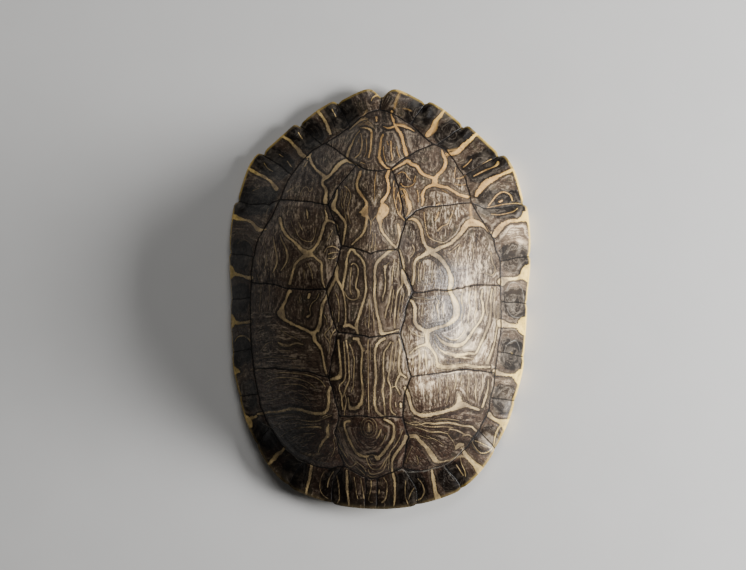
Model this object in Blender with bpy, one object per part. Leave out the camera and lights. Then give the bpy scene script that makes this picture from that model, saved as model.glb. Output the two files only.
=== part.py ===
"""The upper shell of a pond turtle, cleaned, hollow, and lying dome up.

Metres, +Z up. +Y is the tail end, -Y the neck end, and the origin is on the
surface that the shell lies on, under the middle of its box. The shell is one
grown piece: a bony dome whose scutes are parted by shallow seams, with a
backbone and ribs along its hollow underside. Both bridges are sawn off flat,
and the shell rests on those two cuts.
"""

import math

import bmesh
import bpy
import numpy as np

MM = 0.001

# ---------------------------------------------------------------- driving sizes, in mm
DOME_HEIGHT = 86.0

# Half the rim seen from above, tail to neck: (out from the middle, towards the tail)
RIM = ((0, 139.2), (15, 138.0), (28, 132.0), (42, 125.5), (56, 115.0), (71, 103.8),
       (80, 96.0), (88, 87.0), (94, 72), (98.2, 57), (101, 40), (101, 20), (100, 0),
       (99, -24), (96.8, -48), (92, -67), (87, -83), (79.5, -98.5), (70.6, -113),
       (60.5, -123.5), (47, -130.8), (30, -136.2), (14, -139.2), (0, -140))

# At the tail, at the neck and at the sides
RIM_HEIGHT = (10.0, 14.0, 8.0)
DOME_ROUNDNESS = (2.8, 3.0, 2.3)
DOME_FLARE = (2.0, 2.0, 0.97)

KEEL_RISE = 1.2
KEEL_WIDTH = 9.0

# The rim is notched where two marginal scutes meet, and each scute's corner on
# the neck side of a notch stands out like a saw tooth
TAIL_NOTCH_DEPTH = 4.6
TAIL_NOTCH_WIDTH = 4.2
TAIL_LOBE_RISE = 1.3
TAIL_LOBE_PLACE = 9.0
TAIL_LOBE_WIDTH = 6.0
NOTCHES = (((29.5, 130.0), 2.6), ((55.5, 115.8), 3.0), ((79.0, 95.4), 3.0),
           ((96.2, 63.5), 2.2), ((100, 28.5), 0.9), ((98.5, -3), 0.5),
           ((96.5, -38), 0.5), ((91, -67), 0.6), ((79, -99), 0.6),
           ((57, -125), 0.8), ((28, -137), 0.8))
NOTCH_WIDTH = 1.9
TOOTH_LENGTH = 13.0
TOOTH_EDGE = 1.6
RIM_DETAIL_FADE = 9

# The bone, thicker towards the rim and thin again at its very edge. The places are
# shares of the way from the top to the rim
WALL = 3.6
RIM_WALL = 6.5
WALL_GROWS = (0.72, 0.90)
EDGE_WALL = (3.4, 3.8, 6.0)
EDGE_THINS = (0.88, 1.0)
BRIDGE_DROP = 9.5
BRIDGE_STARTS = 0.84
SEAM_DEPTH = 0.9
SEAM_WIDTH = 2.1
SCUTE_CROWN = 0.8
SCUTE_CROWN_WIDTH = 7.0

# Inside: vertebrae along the middle and pairs of ribs
BACKBONE_RISE = 6.5
BACKBONE_WIDTH = 5.5
BACKBONE_END = 112.0
BACKBONE_TAPER = 22.0
VERTEBRA_LENGTH = 26.0
VERTEBRA_START = 8.0
VERTEBRA_WAIST = 0.56
RIB_RISE = 1.7
RIB_WIDTH = 5.0
RIB_ROOT = (4.0, 12.0)
RIB_REACH = 66.0
RIB_TAPER = 14.0
RIB_SWEEP = 0.0022
RIBS = (-84, -59, -34, -8, 18, 43, 66, 86)

# Mesh: a fine net first, then thinned to this share of its faces
AROUND = 300
ACROSS = 150
LIP_RINGS = (0.40, 0.46)
KEPT_SHARE = 0.098

# ---------------------------------------------------------------- scute seams, in mm
# Each line is seen from above. The two sides of this shell differ a little.
MIDDLE_SEAMS = (
    ((-1, 125.4), (-0.5, 130), (0, 136)),
    ((-20, 112), (-15.5, 117.3), (-11, 120.6), (-6, 123.9), (-1, 125.4), (4, 124.4),
     (9, 121.9), (14.5, 118.4), (21, 114.5)),
    ((-13, 83), (-6, 79.5), (0, 78.5), (5, 79), (10, 80)),
    ((-19, 28), (-10, 26), (0, 22.5), (8, 25), (16.5, 26)),
    ((-20, -27), (-10, -28), (0, -30), (10, -28.5), (19.5, -27)),
    ((-20.5, -79.5), (-8, -79), (0, -80), (8, -79.5), (20.5, -79.5)),
    ((-19, -112), (-14, -114.8), (-10, -117), (-6, -119), (-2, -120), (2, -119.8),
     (5.5, -118.3), (9.5, -116.3), (14.5, -114.3), (19, -112)),
    ((-5.5, -119.2), (-5, -127.5), (-6, -139)),
    ((2.5, -119.6), (2, -128), (1.5, -139)),
)
RIGHT_SEAMS = (
    # beside the vertebral scutes, tail to neck
    ((36, 101), (27, 96), (19, 90), (10, 80), (16, 66), (21, 45), (17, 27), (20, 14),
     (27, -1), (22.5, -12), (19.5, -28), (23, -40), (26, -54), (21.5, -66),
     (20.5, -80), (24, -92), (21, -104), (19, -112)),
    # between the costal scutes
    ((21, 45), (27, 51.5), (35, 55), (47, 57), (62, 60)),
    ((27, -1), (36, 0), (46, 1), (57, 3), (68, 6), (81, 7)),
    ((26, -54), (34, -52.5), (46, -50.5), (62, -48), (78.5, -49.5)),
    # between the costal and the marginal scutes
    ((21, 114.5), (25, 110.5), (30, 105.5), (36, 101), (44, 98), (51, 88), (58, 76), (62, 60), (70, 47),
     (77, 36), (81, 22), (82, -5), (82, -22), (80, -38), (78, -55), (75, -73),
     (69, -86), (60, -99), (50, -108.5), (38, -113), (28, -114.5), (19, -112)),
    # between the marginal scutes
    ((21, 114.5), (23.5, 121.5), (29.5, 130)),
    ((38, 100.5), (47, 108.5), (55.5, 115.8)),
    ((57, 79), (67, 88), (79, 95.4)),
    ((62, 60), (70, 57), (82, 59), (96.2, 63.5)),
    ((81, 22.5), (89, 25.5), (100, 28.5)),
    ((82, -3), (98.5, -3)),
    ((80.5, -36), (96.5, -38)),
    ((76.5, -66), (91, -67)),
    ((68, -87), (79, -99)),
    ((46, -110.5), (52, -117), (57, -125)),
    ((20, -113), (24, -119.2), (28, -126), (28.5, -131), (28, -137)),
)
LEFT_SEAMS = (
    ((-36, 101), (-27, 95), (-20, 89), (-13, 83), (-22, 70), (-29.5, 55.5), (-23, 42),
     (-19, 28), (-23, 12), (-28, 0), (-25, -14), (-20, -27), (-23, -40), (-26, -55),
     (-23, -67), (-20.5, -79.5), (-24, -90), (-22, -103), (-19, -112)),
    ((-29.5, 55.5), (-38, 57), (-50, 59), (-63, 61)),
    ((-28, 0), (-40, 0), (-53, 1), (-68, 5), (-81, 7)),
    ((-26, -55), (-36, -52.5), (-52, -50.5), (-66, -49), (-80, -50)),
    ((-20, 112), (-30, 105), (-36, 101), (-45, 96), (-53, 86), (-59, 75), (-63, 61),
     (-70, 47), (-77, 36), (-81, 22), (-82, -5), (-82, -22), (-81, -38), (-79, -55),
     (-76, -73), (-70, -86), (-61, -99), (-50, -108), (-38, -112.5), (-28, -114),
     (-19, -112)),
    ((-20, 112), (-24, 121), (-30, 130)),
    ((-38, 100), (-47, 108), (-56, 115.8)),
    ((-57, 79), (-67, 87), (-79.5, 95)),
    ((-63, 61), (-71, 58), (-83, 60), (-97, 63.5)),
    ((-81, 24), (-100, 28.5)),
    ((-82, -3), (-98.5, -3)),
    ((-81, -36), (-96.5, -38)),
    ((-77.5, -66), (-91, -67)),
    ((-69, -87), (-79, -99)),
    ((-46, -109.5), (-52, -117), (-57, -125)),
    ((-21, -113), (-24.5, -117.5), (-27, -123), (-28, -130), (-28, -137)),
)


def smooth_step(low, high, value):
    share = np.clip((value - low) / (high - low), 0, 1)
    return share * share * (3 - 2 * share)


def rim_polar():
    """The whole rim as angles from the tail and distances from the middle."""
    other_half = [(-out, along) for out, along in RIM[-2:0:-1]]
    points = np.array(list(RIM) + other_half, float)
    angles = np.unwrap(np.arctan2(points[:, 0], points[:, 1]))
    return angles, np.hypot(points[:, 0], points[:, 1])


def plain_rim(angle):
    """Distance to the rim at each angle, as a smooth closed curve."""
    angles, radii = rim_polar()
    turn = 2 * math.pi
    knots = np.concatenate([angles - turn, angles, angles + turn])
    values = np.tile(radii, 3)
    place = np.mod(angle, turn)
    i = np.searchsorted(knots, place, side="right") - 1
    step = knots[i + 1] - knots[i]
    slope_a = (values[i + 1] - values[i - 1]) / (knots[i + 1] - knots[i - 1])
    slope_b = (values[i + 2] - values[i]) / (knots[i + 2] - knots[i])
    s = (place - knots[i]) / step
    return ((2 * s**3 - 3 * s**2 + 1) * values[i]
            + (s**3 - 2 * s**2 + s) * step * slope_a
            + (3 * s**2 - 2 * s**3) * values[i + 1]
            + (s**3 - s**2) * step * slope_b)


def rim_teeth(angle, radius):
    """How far the notches and teeth move the rim in or out."""
    signed = (angle + math.pi) % (2 * math.pi) - math.pi
    from_tail = np.abs(signed) * radius
    shift = TAIL_LOBE_RISE * np.exp(-((from_tail - TAIL_LOBE_PLACE) / TAIL_LOBE_WIDTH) ** 2)
    shift = shift - TAIL_NOTCH_DEPTH * np.exp(-(from_tail / TAIL_NOTCH_WIDTH) ** 2)
    for (out, along), tooth in NOTCHES:
        past = (np.abs(signed) - math.atan2(out, along)) * radius
        rise = 1 - np.exp(-np.clip(past, 0, None) / TOOTH_EDGE)
        fall = np.exp(-np.clip(past, 0, None) / TOOTH_LENGTH)
        shift = shift + tooth * rise * fall - tooth / 2 * np.exp(-(past / NOTCH_WIDTH) ** 2)
    return shift


def by_direction(angle, values):
    """Mixes the values for tail, neck and sides round the shell."""
    tail = np.clip(np.cos(angle), 0, 1) ** 2
    neck = np.clip(-np.cos(angle), 0, 1) ** 2
    return values[0] * tail + values[1] * neck + values[2] * (1 - tail - neck)


def dome(x, y):
    """Height of the smooth outer surface, without seams."""
    angle = np.arctan2(x, y)
    share = np.clip(np.hypot(x, y) / plain_rim(angle), 0, 0.9999)
    edge = by_direction(angle, RIM_HEIGHT)
    roundness = by_direction(angle, DOME_ROUNDNESS)
    flare = by_direction(angle, DOME_FLARE)
    keel = KEEL_RISE * np.exp(-(x / KEEL_WIDTH) ** 2) * (1 - share**2)
    return edge + (DOME_HEIGHT - KEEL_RISE - edge) * (1 - share**roundness) ** flare + keel


def dome_normal(x, y):
    step = 0.4
    slope_x = (dome(x + step, y) - dome(x - step, y)) / (2 * step)
    slope_y = (dome(x, y + step) - dome(x, y - step)) / (2 * step)
    normal = np.stack([-slope_x, -slope_y, np.ones_like(x)], axis=-1)
    return normal / np.linalg.norm(normal, axis=-1, keepdims=True)


def seam_distance(x, y):
    nearest = np.full(x.shape, 1e9)
    for line in MIDDLE_SEAMS + RIGHT_SEAMS + LEFT_SEAMS:
        for (ax, ay), (bx, by) in zip(line[:-1], line[1:]):
            dx, dy = bx - ax, by - ay
            along = np.clip(((x - ax) * dx + (y - ay) * dy) / (dx * dx + dy * dy), 0, 1)
            gap = np.hypot(x - ax - along * dx, y - ay - along * dy)
            nearest = np.minimum(nearest, gap)
    return nearest


def outer_point(angle, share):
    """A point of the outer surface, share running from the top to the rim."""
    rim = plain_rim(angle)
    radius = share * (rim + rim_teeth(angle, rim) * share**RIM_DETAIL_FADE)
    x, y = radius * np.sin(angle), radius * np.cos(angle)
    flat_x, flat_y = share * rim * np.sin(angle), share * rim * np.cos(angle)
    gap = seam_distance(x, y)
    relief = SCUTE_CROWN * (1 - np.exp(-gap / SCUTE_CROWN_WIDTH)) - SCUTE_CROWN
    relief = relief - SEAM_DEPTH * np.exp(-(gap / SEAM_WIDTH) ** 2)
    surface = np.stack([x, y, dome(flat_x, flat_y)], axis=-1)
    return surface + dome_normal(flat_x, flat_y) * relief[..., None]


def inner_point(angle, share):
    """A point of the hollow's surface, share running from the top to the lip."""
    rim = plain_rim(angle)
    radius = share * (rim + rim_teeth(angle, rim) * share**RIM_DETAIL_FADE)
    x, y = radius * np.sin(angle), radius * np.cos(angle)
    flat_x, flat_y = share * rim * np.sin(angle), share * rim * np.cos(angle)
    thickness = WALL + (RIM_WALL - WALL) * smooth_step(*WALL_GROWS, share)
    edge = by_direction(angle, EDGE_WALL)
    thickness = thickness + (edge - RIM_WALL) * smooth_step(*EDGE_THINS, share)

    inside = 1 - smooth_step(BACKBONE_END - BACKBONE_TAPER, BACKBONE_END, np.abs(y))
    wave = 2 * math.pi * (y + VERTEBRA_START) / VERTEBRA_LENGTH
    beads = 1 - VERTEBRA_WAIST * (1 - np.cos(wave)) / 2
    thickness = thickness + BACKBONE_RISE * beads * inside * np.exp(-(x / BACKBONE_WIDTH) ** 4)
    out = np.abs(x)
    reach = smooth_step(*RIB_ROOT, out) * (1 - smooth_step(RIB_REACH - RIB_TAPER, RIB_REACH, out))
    for rib in RIBS:
        line = rib * (1 + RIB_SWEEP * out)
        thickness = thickness + RIB_RISE * reach * np.exp(-((y - line) / RIB_WIDTH) ** 2)

    surface = np.stack([x, y, dome(flat_x, flat_y)], axis=-1)
    point = surface - dome_normal(flat_x, flat_y) * thickness[..., None]
    bridge = by_direction(angle, (0.0, 0.0, 1.0)) * smooth_step(BRIDGE_STARTS, 1.0, share)
    point[..., 2] -= BRIDGE_DROP * bridge
    return point


def shell_point(angle, ring):
    """ring runs from the middle of the hollow (0), round the lip, to the top (1)."""
    lip_start, lip_end = LIP_RINGS
    outer = outer_point(angle, np.clip((1 - ring) / (1 - lip_end), 0, 1))
    inner = inner_point(angle, np.clip(ring / lip_start, 0, 1))
    turn = np.clip((lip_end - ring) / (lip_end - lip_start), 0, 1)[..., None] * math.pi / 2
    flat = np.array([1.0, 1.0, 0.0])
    sideways = 1 - np.cos(turn)
    down = np.sin(turn)
    lip = outer + (inner - outer) * (flat * sideways + (1 - flat) * down)
    on_inner = (ring < lip_start)[..., None]
    return np.where(on_inner, inner, lip)


def make_shell(collection):
    net = bmesh.new()
    bmesh.ops.create_uvsphere(net, u_segments=AROUND, v_segments=ACROSS, radius=1.0)
    mesh = bpy.data.meshes.new("carapace")
    net.to_mesh(mesh)
    net.free()

    ball = np.empty(len(mesh.vertices) * 3)
    mesh.vertices.foreach_get("co", ball)
    ball = ball.reshape(-1, 3)
    angle = np.arctan2(ball[:, 0], ball[:, 1])
    ring = 0.5 + np.arcsin(np.clip(ball[:, 2], -1, 1)) / math.pi
    mesh.vertices.foreach_set("co", (shell_point(angle, ring) * MM).ravel())
    mesh.shade_smooth()

    shell = bpy.data.objects.new("carapace", mesh)
    collection.objects.link(shell)
    thinning = shell.modifiers.new("thin out", "DECIMATE")
    thinning.ratio = KEPT_SHARE
    thinning.use_collapse_triangulate = True
    return shell


def make_saw(collection):
    """The block that takes off the bridges, its top at the height of the cut."""
    width, length, depth = 0.30, 0.36, 0.04
    bpy.ops.mesh.primitive_cube_add(size=1, location=(0, 0, -depth / 2))
    saw = bpy.context.object
    saw.name = "bridge_saw"
    saw.scale = (width, length, depth)
    bpy.ops.object.transform_apply(location=False, rotation=False, scale=True)
    for owner in list(saw.users_collection):
        owner.objects.unlink(saw)
    collection.objects.link(saw)
    saw.hide_render = True
    saw.display_type = "WIRE"
    return saw


def horn_material():
    material = bpy.data.materials.new("dark horn")
    material.use_nodes = True
    surface = material.node_tree.nodes["Principled BSDF"]
    surface.inputs["Base Color"].default_value = (0.060, 0.040, 0.026, 1)
    surface.inputs["Roughness"].default_value = 0.42
    surface.inputs["Metallic"].default_value = 0.0
    return material


def main():
    for old in list(bpy.data.objects):
        bpy.data.objects.remove(old, do_unlink=True)
    parts = bpy.data.collections.new("turtle carapace")
    cutters = bpy.data.collections.new("cutters")
    bpy.context.scene.collection.children.link(parts)
    bpy.context.scene.collection.children.link(cutters)

    shell = make_shell(parts)
    shell.data.materials.append(horn_material())
    saw = make_saw(cutters)
    cut = shell.modifiers.new("saw off the bridges", "BOOLEAN")
    cut.operation = "DIFFERENCE"
    cut.solver = "EXACT"
    cut.object = saw


main()
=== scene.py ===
"""The upper shell of a pond turtle, cleaned and hollow, lying dome up.

The frame is in metres and the sizes here are in millimetres: +X is the side
that is on the right in the camera's view, +Y is the tail end, -Y the neck end,
and the floor is at zero. The form repeats the shell's own solid, with finer
relief, and the yellow lines, seams and bone are stored on the mesh for its
one material to paint.
"""

import math

import bpy
import mathutils
import numpy as np
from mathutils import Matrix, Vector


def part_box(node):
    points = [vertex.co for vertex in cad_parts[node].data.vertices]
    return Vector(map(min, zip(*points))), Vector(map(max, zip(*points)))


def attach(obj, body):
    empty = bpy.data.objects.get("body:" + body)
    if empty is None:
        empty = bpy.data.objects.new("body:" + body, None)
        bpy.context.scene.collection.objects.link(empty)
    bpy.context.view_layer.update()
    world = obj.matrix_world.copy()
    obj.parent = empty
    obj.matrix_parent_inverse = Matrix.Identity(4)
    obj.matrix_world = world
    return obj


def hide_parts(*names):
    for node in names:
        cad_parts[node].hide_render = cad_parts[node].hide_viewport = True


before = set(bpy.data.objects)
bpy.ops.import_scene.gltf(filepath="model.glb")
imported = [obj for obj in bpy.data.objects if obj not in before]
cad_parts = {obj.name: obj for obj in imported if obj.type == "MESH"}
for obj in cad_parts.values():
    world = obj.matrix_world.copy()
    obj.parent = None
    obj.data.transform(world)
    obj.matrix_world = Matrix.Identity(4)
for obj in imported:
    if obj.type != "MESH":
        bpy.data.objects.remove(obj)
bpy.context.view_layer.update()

MM = 0.001

# ---------------------------------------------------------------- form
DOME_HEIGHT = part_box("carapace")[1][2] / MM

# Half the rim seen from above, tail to neck: (out from the middle, towards the tail)
RIM = ((0, 139.2), (15, 138.0), (28, 132.0), (42, 125.5), (56, 115.0), (71, 103.8),
       (80, 96.0), (88, 87.0), (94, 72), (98.2, 57), (101, 40), (101, 20), (100, 0),
       (99, -24), (96.8, -48), (92, -67), (87, -83), (79.5, -98.5), (70.6, -113),
       (60.5, -123.5), (47, -130.8), (30, -136.2), (14, -139.2), (0, -140))

# At the tail, at the neck and at the sides
RIM_HEIGHT = (10.0, 14.0, 8.0)
DOME_ROUNDNESS = (2.8, 3.0, 2.3)
DOME_FLARE = (2.0, 2.0, 0.97)
OUTERMOST_SHARE = 0.9999
SLOPE_STEP = 0.4

KEEL_RISE = 1.2
KEEL_WIDTH = 9.0
TAIL_NOTCH_DEPTH = 4.6
TAIL_NOTCH_WIDTH = 4.2
TAIL_LOBE_RISE = 1.3
TAIL_LOBE_PLACE = 9.0
TAIL_LOBE_WIDTH = 6.0

# The notch in the rim where two marginal scutes meet, and the tooth on its neck side
NOTCHES = (((29.5, 130.0), 2.6), ((55.5, 115.8), 3.0), ((79.0, 95.4), 3.0),
           ((96.2, 63.5), 2.2), ((100, 28.5), 0.9), ((98.5, -3), 0.5),
           ((96.5, -38), 0.5), ((91, -67), 0.6), ((79, -99), 0.6),
           ((57, -125), 0.8), ((28, -137), 0.8))
NOTCH_WIDTH = 1.9
TOOTH_LENGTH = 13.0
TOOTH_EDGE = 1.6
RIM_DETAIL_FADE = 9
MEAN_REACH = 110.0

WALL = 3.6
RIM_WALL = 6.5
EDGE_WALL = (3.4, 3.8, 6.0)
BRIDGE_DROP = 9.5

# Where the wall thickens, where it takes its edge's thickness and where the bridges drop,
# as shares of the way from the top to the lip
WALL_GROWS = (0.72, 0.90)
EDGE_GROWS = (0.88, 1.0)
BRIDGE_GROWS = (0.84, 1.0)

BACKBONE_RISE = 6.5
BACKBONE_WIDTH = 5.5
BACKBONE_END = 112.0
BACKBONE_FADE = 22.0
VERTEBRA_LENGTH = 26.0
VERTEBRA_START = -8.0
VERTEBRA_WAIST = 0.28
RIB_RISE = 1.7
RIB_WIDTH = 5.0
RIB_START = (4, 12)
RIB_REACH = 66.0
RIB_FADE = 14.0
RIBS = (-84, -59, -34, -8, 18, 43, 66, 86)
RIB_SWEEP = 0.0022

# Relief of the horn, all of it inside the plain solid
HORN_INSET = 0.45
SCUTE_CROWN = 0.55
SCUTE_CROWN_WIDTH = 6.0
SEAM_DEPTH = 0.30
SEAM_WIDTH = 1.5
SEAM_STEP = 3.0
SEAM_SWAY = 1.0
SEAM_SWAY_LENGTH = 9.0
GROWTH_RIDGE = 0.07
GROWTH_SPACING = 2.9
GROWTH_REACH = 9.0

# Unevenness: how high it is, how wide and long its lumps are, and which noise it takes
HORN_UNEVENNESS = ((0.30, 24.0, 30.0, 1.0), (0.10, 5.0, 12.0, 2.0), (0.05, 2.2, 14.0, 3.0))
BONE_UNEVENNESS = (0.15, 9.0, 9.0, 5.0)
SWAY_NOISE = 6.0
BOSS_RISE = 0.7
BOSS_SIZE = 7.0

# Rounded knobs on the teeth of the tail half of the rim, and how far they stand up
KNOBS = ((33.0, 126.0), (59.5, 110.5), (81.0, 91.5), (94.0, 60.0))
KNOB_RISE = 0.9
KNOB_SIZE = 4.2
EDGE_ROUNDING = 0.9
EDGE_ROUNDING_WIDTH = 2.4
EDGE_ROUNDING_POWER = 2.2

# Mesh: the rings hold fewer points near the top
AROUND = 800
OUTER_RINGS = 134
LIP_STEPS = 8
HOLLOW_RINGS = 62
LIP_RINGS = (0.40, 0.46)
HALVED_BELOW = (0.56, 0.28, 0.14, 0.07)
SLOPE_SAMPLES = 400
SHARP_EDGE = math.radians(50)

# ---------------------------------------------------------------- scute seams, in mm
# Each line is seen from above. The two sides of this shell differ a little.
TAIL_ARCH = ((-20, 112), (-15.5, 117.3), (-11, 120.6), (-6, 123.9), (-1, 125.4), (4, 124.4),
             (9, 121.9), (14.5, 118.4), (21, 114.5))
NECK_ARCH = ((-19, -112), (-14, -114.8), (-10, -117), (-6, -119), (-2, -120), (2, -119.8),
             (5.5, -118.3), (9.5, -116.3), (14.5, -114.3), (19, -112))
MIDDLE_SEAMS = (
    ((-1, 125.4), (-0.5, 130), (0, 136)),
    TAIL_ARCH,
    ((-13, 83), (-6, 79.5), (0, 78.5), (5, 79), (10, 80)),
    ((-19, 28), (-10, 26), (0, 22.5), (8, 25), (16.5, 26)),
    ((-20, -27), (-10, -28), (0, -30), (10, -28.5), (19.5, -27)),
    ((-20.5, -79.5), (-8, -79), (0, -80), (8, -79.5), (20.5, -79.5)),
    NECK_ARCH,
    ((-5.5, -119.2), (-5, -127.5), (-6, -139)),
    ((2.5, -119.6), (2, -128), (1.5, -139)),
)
RIGHT_VERTEBRAL_EDGE = (
    (36, 101), (27, 96), (19, 90), (10, 80), (16, 66), (21, 45), (17, 27), (20, 14),
    (27, -1), (22.5, -12), (19.5, -28), (23, -40), (26, -54), (21.5, -66),
    (20.5, -80), (24, -92), (21, -104), (19, -112))
LEFT_VERTEBRAL_EDGE = (
    (-36, 101), (-27, 95), (-20, 89), (-13, 83), (-22, 70), (-29.5, 55.5), (-23, 42),
    (-19, 28), (-23, 12), (-28, 0), (-25, -14), (-20, -27), (-23, -40), (-26, -55),
    (-23, -67), (-20.5, -79.5), (-24, -90), (-22, -103), (-19, -112))
RIGHT_MARGINAL_EDGE = (
    (21, 114.5), (25, 110.5), (30, 105.5), (36, 101), (44, 98), (51, 88), (58, 76), (62, 60), (70, 47),
    (77, 36), (81, 22), (82, -5), (82, -22), (80, -38), (78, -55), (75, -73),
    (69, -86), (60, -99), (50, -108.5), (38, -113), (28, -114.5), (19, -112))
LEFT_MARGINAL_EDGE = (
    (-20, 112), (-30, 105), (-36, 101), (-45, 96), (-53, 86), (-59, 75), (-63, 61),
    (-70, 47), (-77, 36), (-81, 22), (-82, -5), (-82, -22), (-81, -38), (-79, -55),
    (-76, -73), (-70, -86), (-61, -99), (-50, -108), (-38, -112.5), (-28, -114),
    (-19, -112))
COSTAL_SEAMS = (
    ((21, 45), (27, 51.5), (35, 55), (47, 57), (62, 60)),
    ((27, -1), (36, 0), (46, 1), (57, 3), (68, 6), (81, 7)),
    ((26, -54), (34, -52.5), (46, -50.5), (62, -48), (78.5, -49.5)),
    ((-29.5, 55.5), (-38, 57), (-50, 59), (-63, 61)),
    ((-28, 0), (-40, 0), (-53, 1), (-68, 5), (-81, 7)),
    ((-26, -55), (-36, -52.5), (-52, -50.5), (-66, -49), (-80, -50)),
)
MARGINAL_SEAMS = (
    ((21, 114.5), (23.5, 121.5), (29.5, 130)),
    ((38, 100.5), (47, 108.5), (55.5, 115.8)),
    ((57, 79), (67, 88), (79, 95.4)),
    ((62, 60), (70, 57), (82, 59), (96.2, 63.5)),
    ((81, 22.5), (89, 25.5), (100, 28.5)),
    ((82, -3), (98.5, -3)),
    ((80.5, -36), (96.5, -38)),
    ((76.5, -66), (91, -67)),
    ((68, -87), (79, -99)),
    ((46, -110.5), (52, -117), (57, -125)),
    ((20, -113), (24, -119.2), (28, -126), (28.5, -131), (28, -137)),
    ((-20, 112), (-24, 121), (-30, 130)),
    ((-38, 100), (-47, 108), (-56, 115.8)),
    ((-57, 79), (-67, 87), (-79.5, 95)),
    ((-63, 61), (-71, 58), (-83, 60), (-97, 63.5)),
    ((-81, 24), (-100, 28.5)),
    ((-82, -3), (-98.5, -3)),
    ((-81, -36), (-96.5, -38)),
    ((-77.5, -66), (-91, -67)),
    ((-69, -87), (-79, -99)),
    ((-46, -109.5), (-52, -117), (-57, -125)),
    ((-21, -113), (-24.5, -117.5), (-27, -123), (-28, -130), (-28, -137)),
)
SEAMS = (MIDDLE_SEAMS + COSTAL_SEAMS + MARGINAL_SEAMS
         + (RIGHT_VERTEBRAL_EDGE, LEFT_VERTEBRAL_EDGE, RIGHT_MARGINAL_EDGE, LEFT_MARGINAL_EDGE))

# Widths of lines in mm, and how far the edges of thin lines are drawn in
BOSS_RING_WIDTH = 0.6
BOSS_RING_POINTS = 33
SEAM_LINE_WIDTH = 1.25
RIM_SEAM_WIDTH = 0.95
FAINT_HALF_WIDTH = 0.30
WIDE_HALF_WIDTH = 0.7
SOFT_HALF_WIDTH = 0.9
BRIGHT_HALF_WIDTH = 0.95
LINE_BLUR = 0.15
STROKE_STEPS = 4

# Lines that lie closer than the gap go to different layers
LINE_LAYERS = 5
LAYER_GAP = 3.4
LINE_GUARD = 0.75

# The toothed joints of the bone: beside the backbone, between the ribs, and in a ring
JOINT_TEETH = 0.9
JOINT_WIDTH = 0.7
JOINT_STEP = 2.6
JOINT_MIDDLE = 9.0
JOINT_REACH = 74.0
JOINT_ENDS = (-108, 110)
JOINT_RING = 0.80
JOINT_RING_POINTS = 240

# Where the fine streaks change their way, seen from above. In front of the first
# edge they run level, on the left side only; in front of the second they fan out.
LEVEL_EDGE_OUT = (20, 25, 27.5, 29, 30, 31.5, 34, 36, 60, 82)
LEVEL_EDGE_ALONG = (-60, -56, -52, -46, -40, -36, -34, -28, -14.5, -12)
FAN_EDGE_OUT = (20, 27, 33, 44, 50, 56, 63, 70, 80)
FAN_EDGE_ALONG = (-79, -77.5, -78, -76, -74.5, -71, -72, -73.5, -74)
FIRST_VERTEBRAL_EDGE = -79.5
FAN_CENTRE = (5.0, -78.0)
FAN_SPREAD = 38.0
BOSS_SHAPE = 0.68
NECK_MARGINALS = -108.0
NECK_SPAN = 46.0
RIM_ARC = 105.0
BLOTCH_ARC = 9.0

# The dark blotch across each seam of the rim: its middle along the seam, its half sizes
BLOTCH_PLACE = 0.55
BLOTCH_OUT = 0.52
BLOTCH_SIDE = 10.5
BLOTCH_SQUARE = 3.0
BLOTCH_FARTHEST = 9.0

# Places on the horn: centre, size, strength
# Worn places, partly real wear and partly painted sheen and painted light: paler where the light's
# sheen falls on the right flank
WORN_AND_SHEEN_PATCHES = (
    ((62, 2), (20, 16), 0.85),
    ((56, 22), (26, 16), 0.40),
    ((62, -28), (20, 24), 1.0),
    ((44, -14), (12, 12), 0.5),
    ((38, -44), (16, 16), 0.8),
    ((33, -40), (8, 15), 1.0),
    ((54, -56), (28, 9), 0.6),
    ((36, -59), (10, 5), 0.85),
    ((92, 40), (9, 12), 0.75),
    ((90, 12), (9, 16), 0.6),
    ((90, -8), (9, 14), 0.35),
    ((88, -62), (8, 14), 0.6),
    ((76, -95), (9, 9), 1.0),
    ((-89, -65), (6, 14), 0.5),
    ((55, 62), (24, 20), 0.4),
    ((0, 45), (24, 34), 0.20),
    ((-52, 26), (26, 26), 0.16),
    ((-46, -30), (20, 20), 0.15),
)
# Dark places, partly dark pigment and partly painted shade where the neck end and the left side face
# away from the light
SMOKY_AND_SHADE_PATCHES = (
    ((0, -140), (100, 46), 1.0),
    ((-58, -100), (44, 30), 1.0),
    ((0, -100), (36, 21), 0.88),
    ((48, -94), (36, 17), 0.78),
    ((-98, -10), (18, 110), 0.55),
    ((-66, 112), (30, 22), 0.45),
    ((0, 130), (40, 17), 0.72),
    ((32, -3.5), (10, 3.2), 0.50),
    ((38, 116), (9, 11), 0.34),
    ((-52, -66), (26, 10), 0.22),
    ((-27, 30), (4.5, 12), 0.42),
    ((0, 129), (24, 8), 0.34),
    ((10.5, 132), (6, 9), 0.80),
    ((26, 107), (7, 7), 0.42),
    ((0, 112), (24, 4.5), 0.36),
)
RED_PATCHES = (
    ((0, -100), (60, 30), 0.9),
    ((-50, -70), (40, 34), 0.6),
    ((-60, 20), (30, 40), 0.3),
)

# How strong the yellow edge of the rim is, by degrees from the tail (left side below zero)
RIM_STRIP = ((-180, 0.0), (-150, 0.05), (-120, 0.5), (-90, 0.65), (-62, 0.7), (-45, 0.5),
             (-28, 0.3), (0, 0.3), (25, 0.4), (45, 0.45), (60, 0.7), (90, 1.0), (120, 0.9),
             (142, 0.4), (160, 0.1), (180, 0.0))

# How far in from the rim the yellow edge fades, and its glow
STRIP_FADE = (0.3, 1.5)
GLOW_FADE = (2, 14)

# The rings between which the edge of the rim turns down, and turns in underneath
LIP_FADE = (0.452, 0.462)
UNDER_FADE = (LIP_RINGS[1] + 0.012, LIP_RINGS[0] + 0.01)

# How far the horn turns in under the rim, as a share of the way to the top
HORN_UNDER_RIM = (0.905, 0.890, 0.975)
HORN_BORDER_WAVE = 0.006
HORN_BORDER_WAVES = 12
HORN_BORDER_BLUR = 0.004

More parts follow.
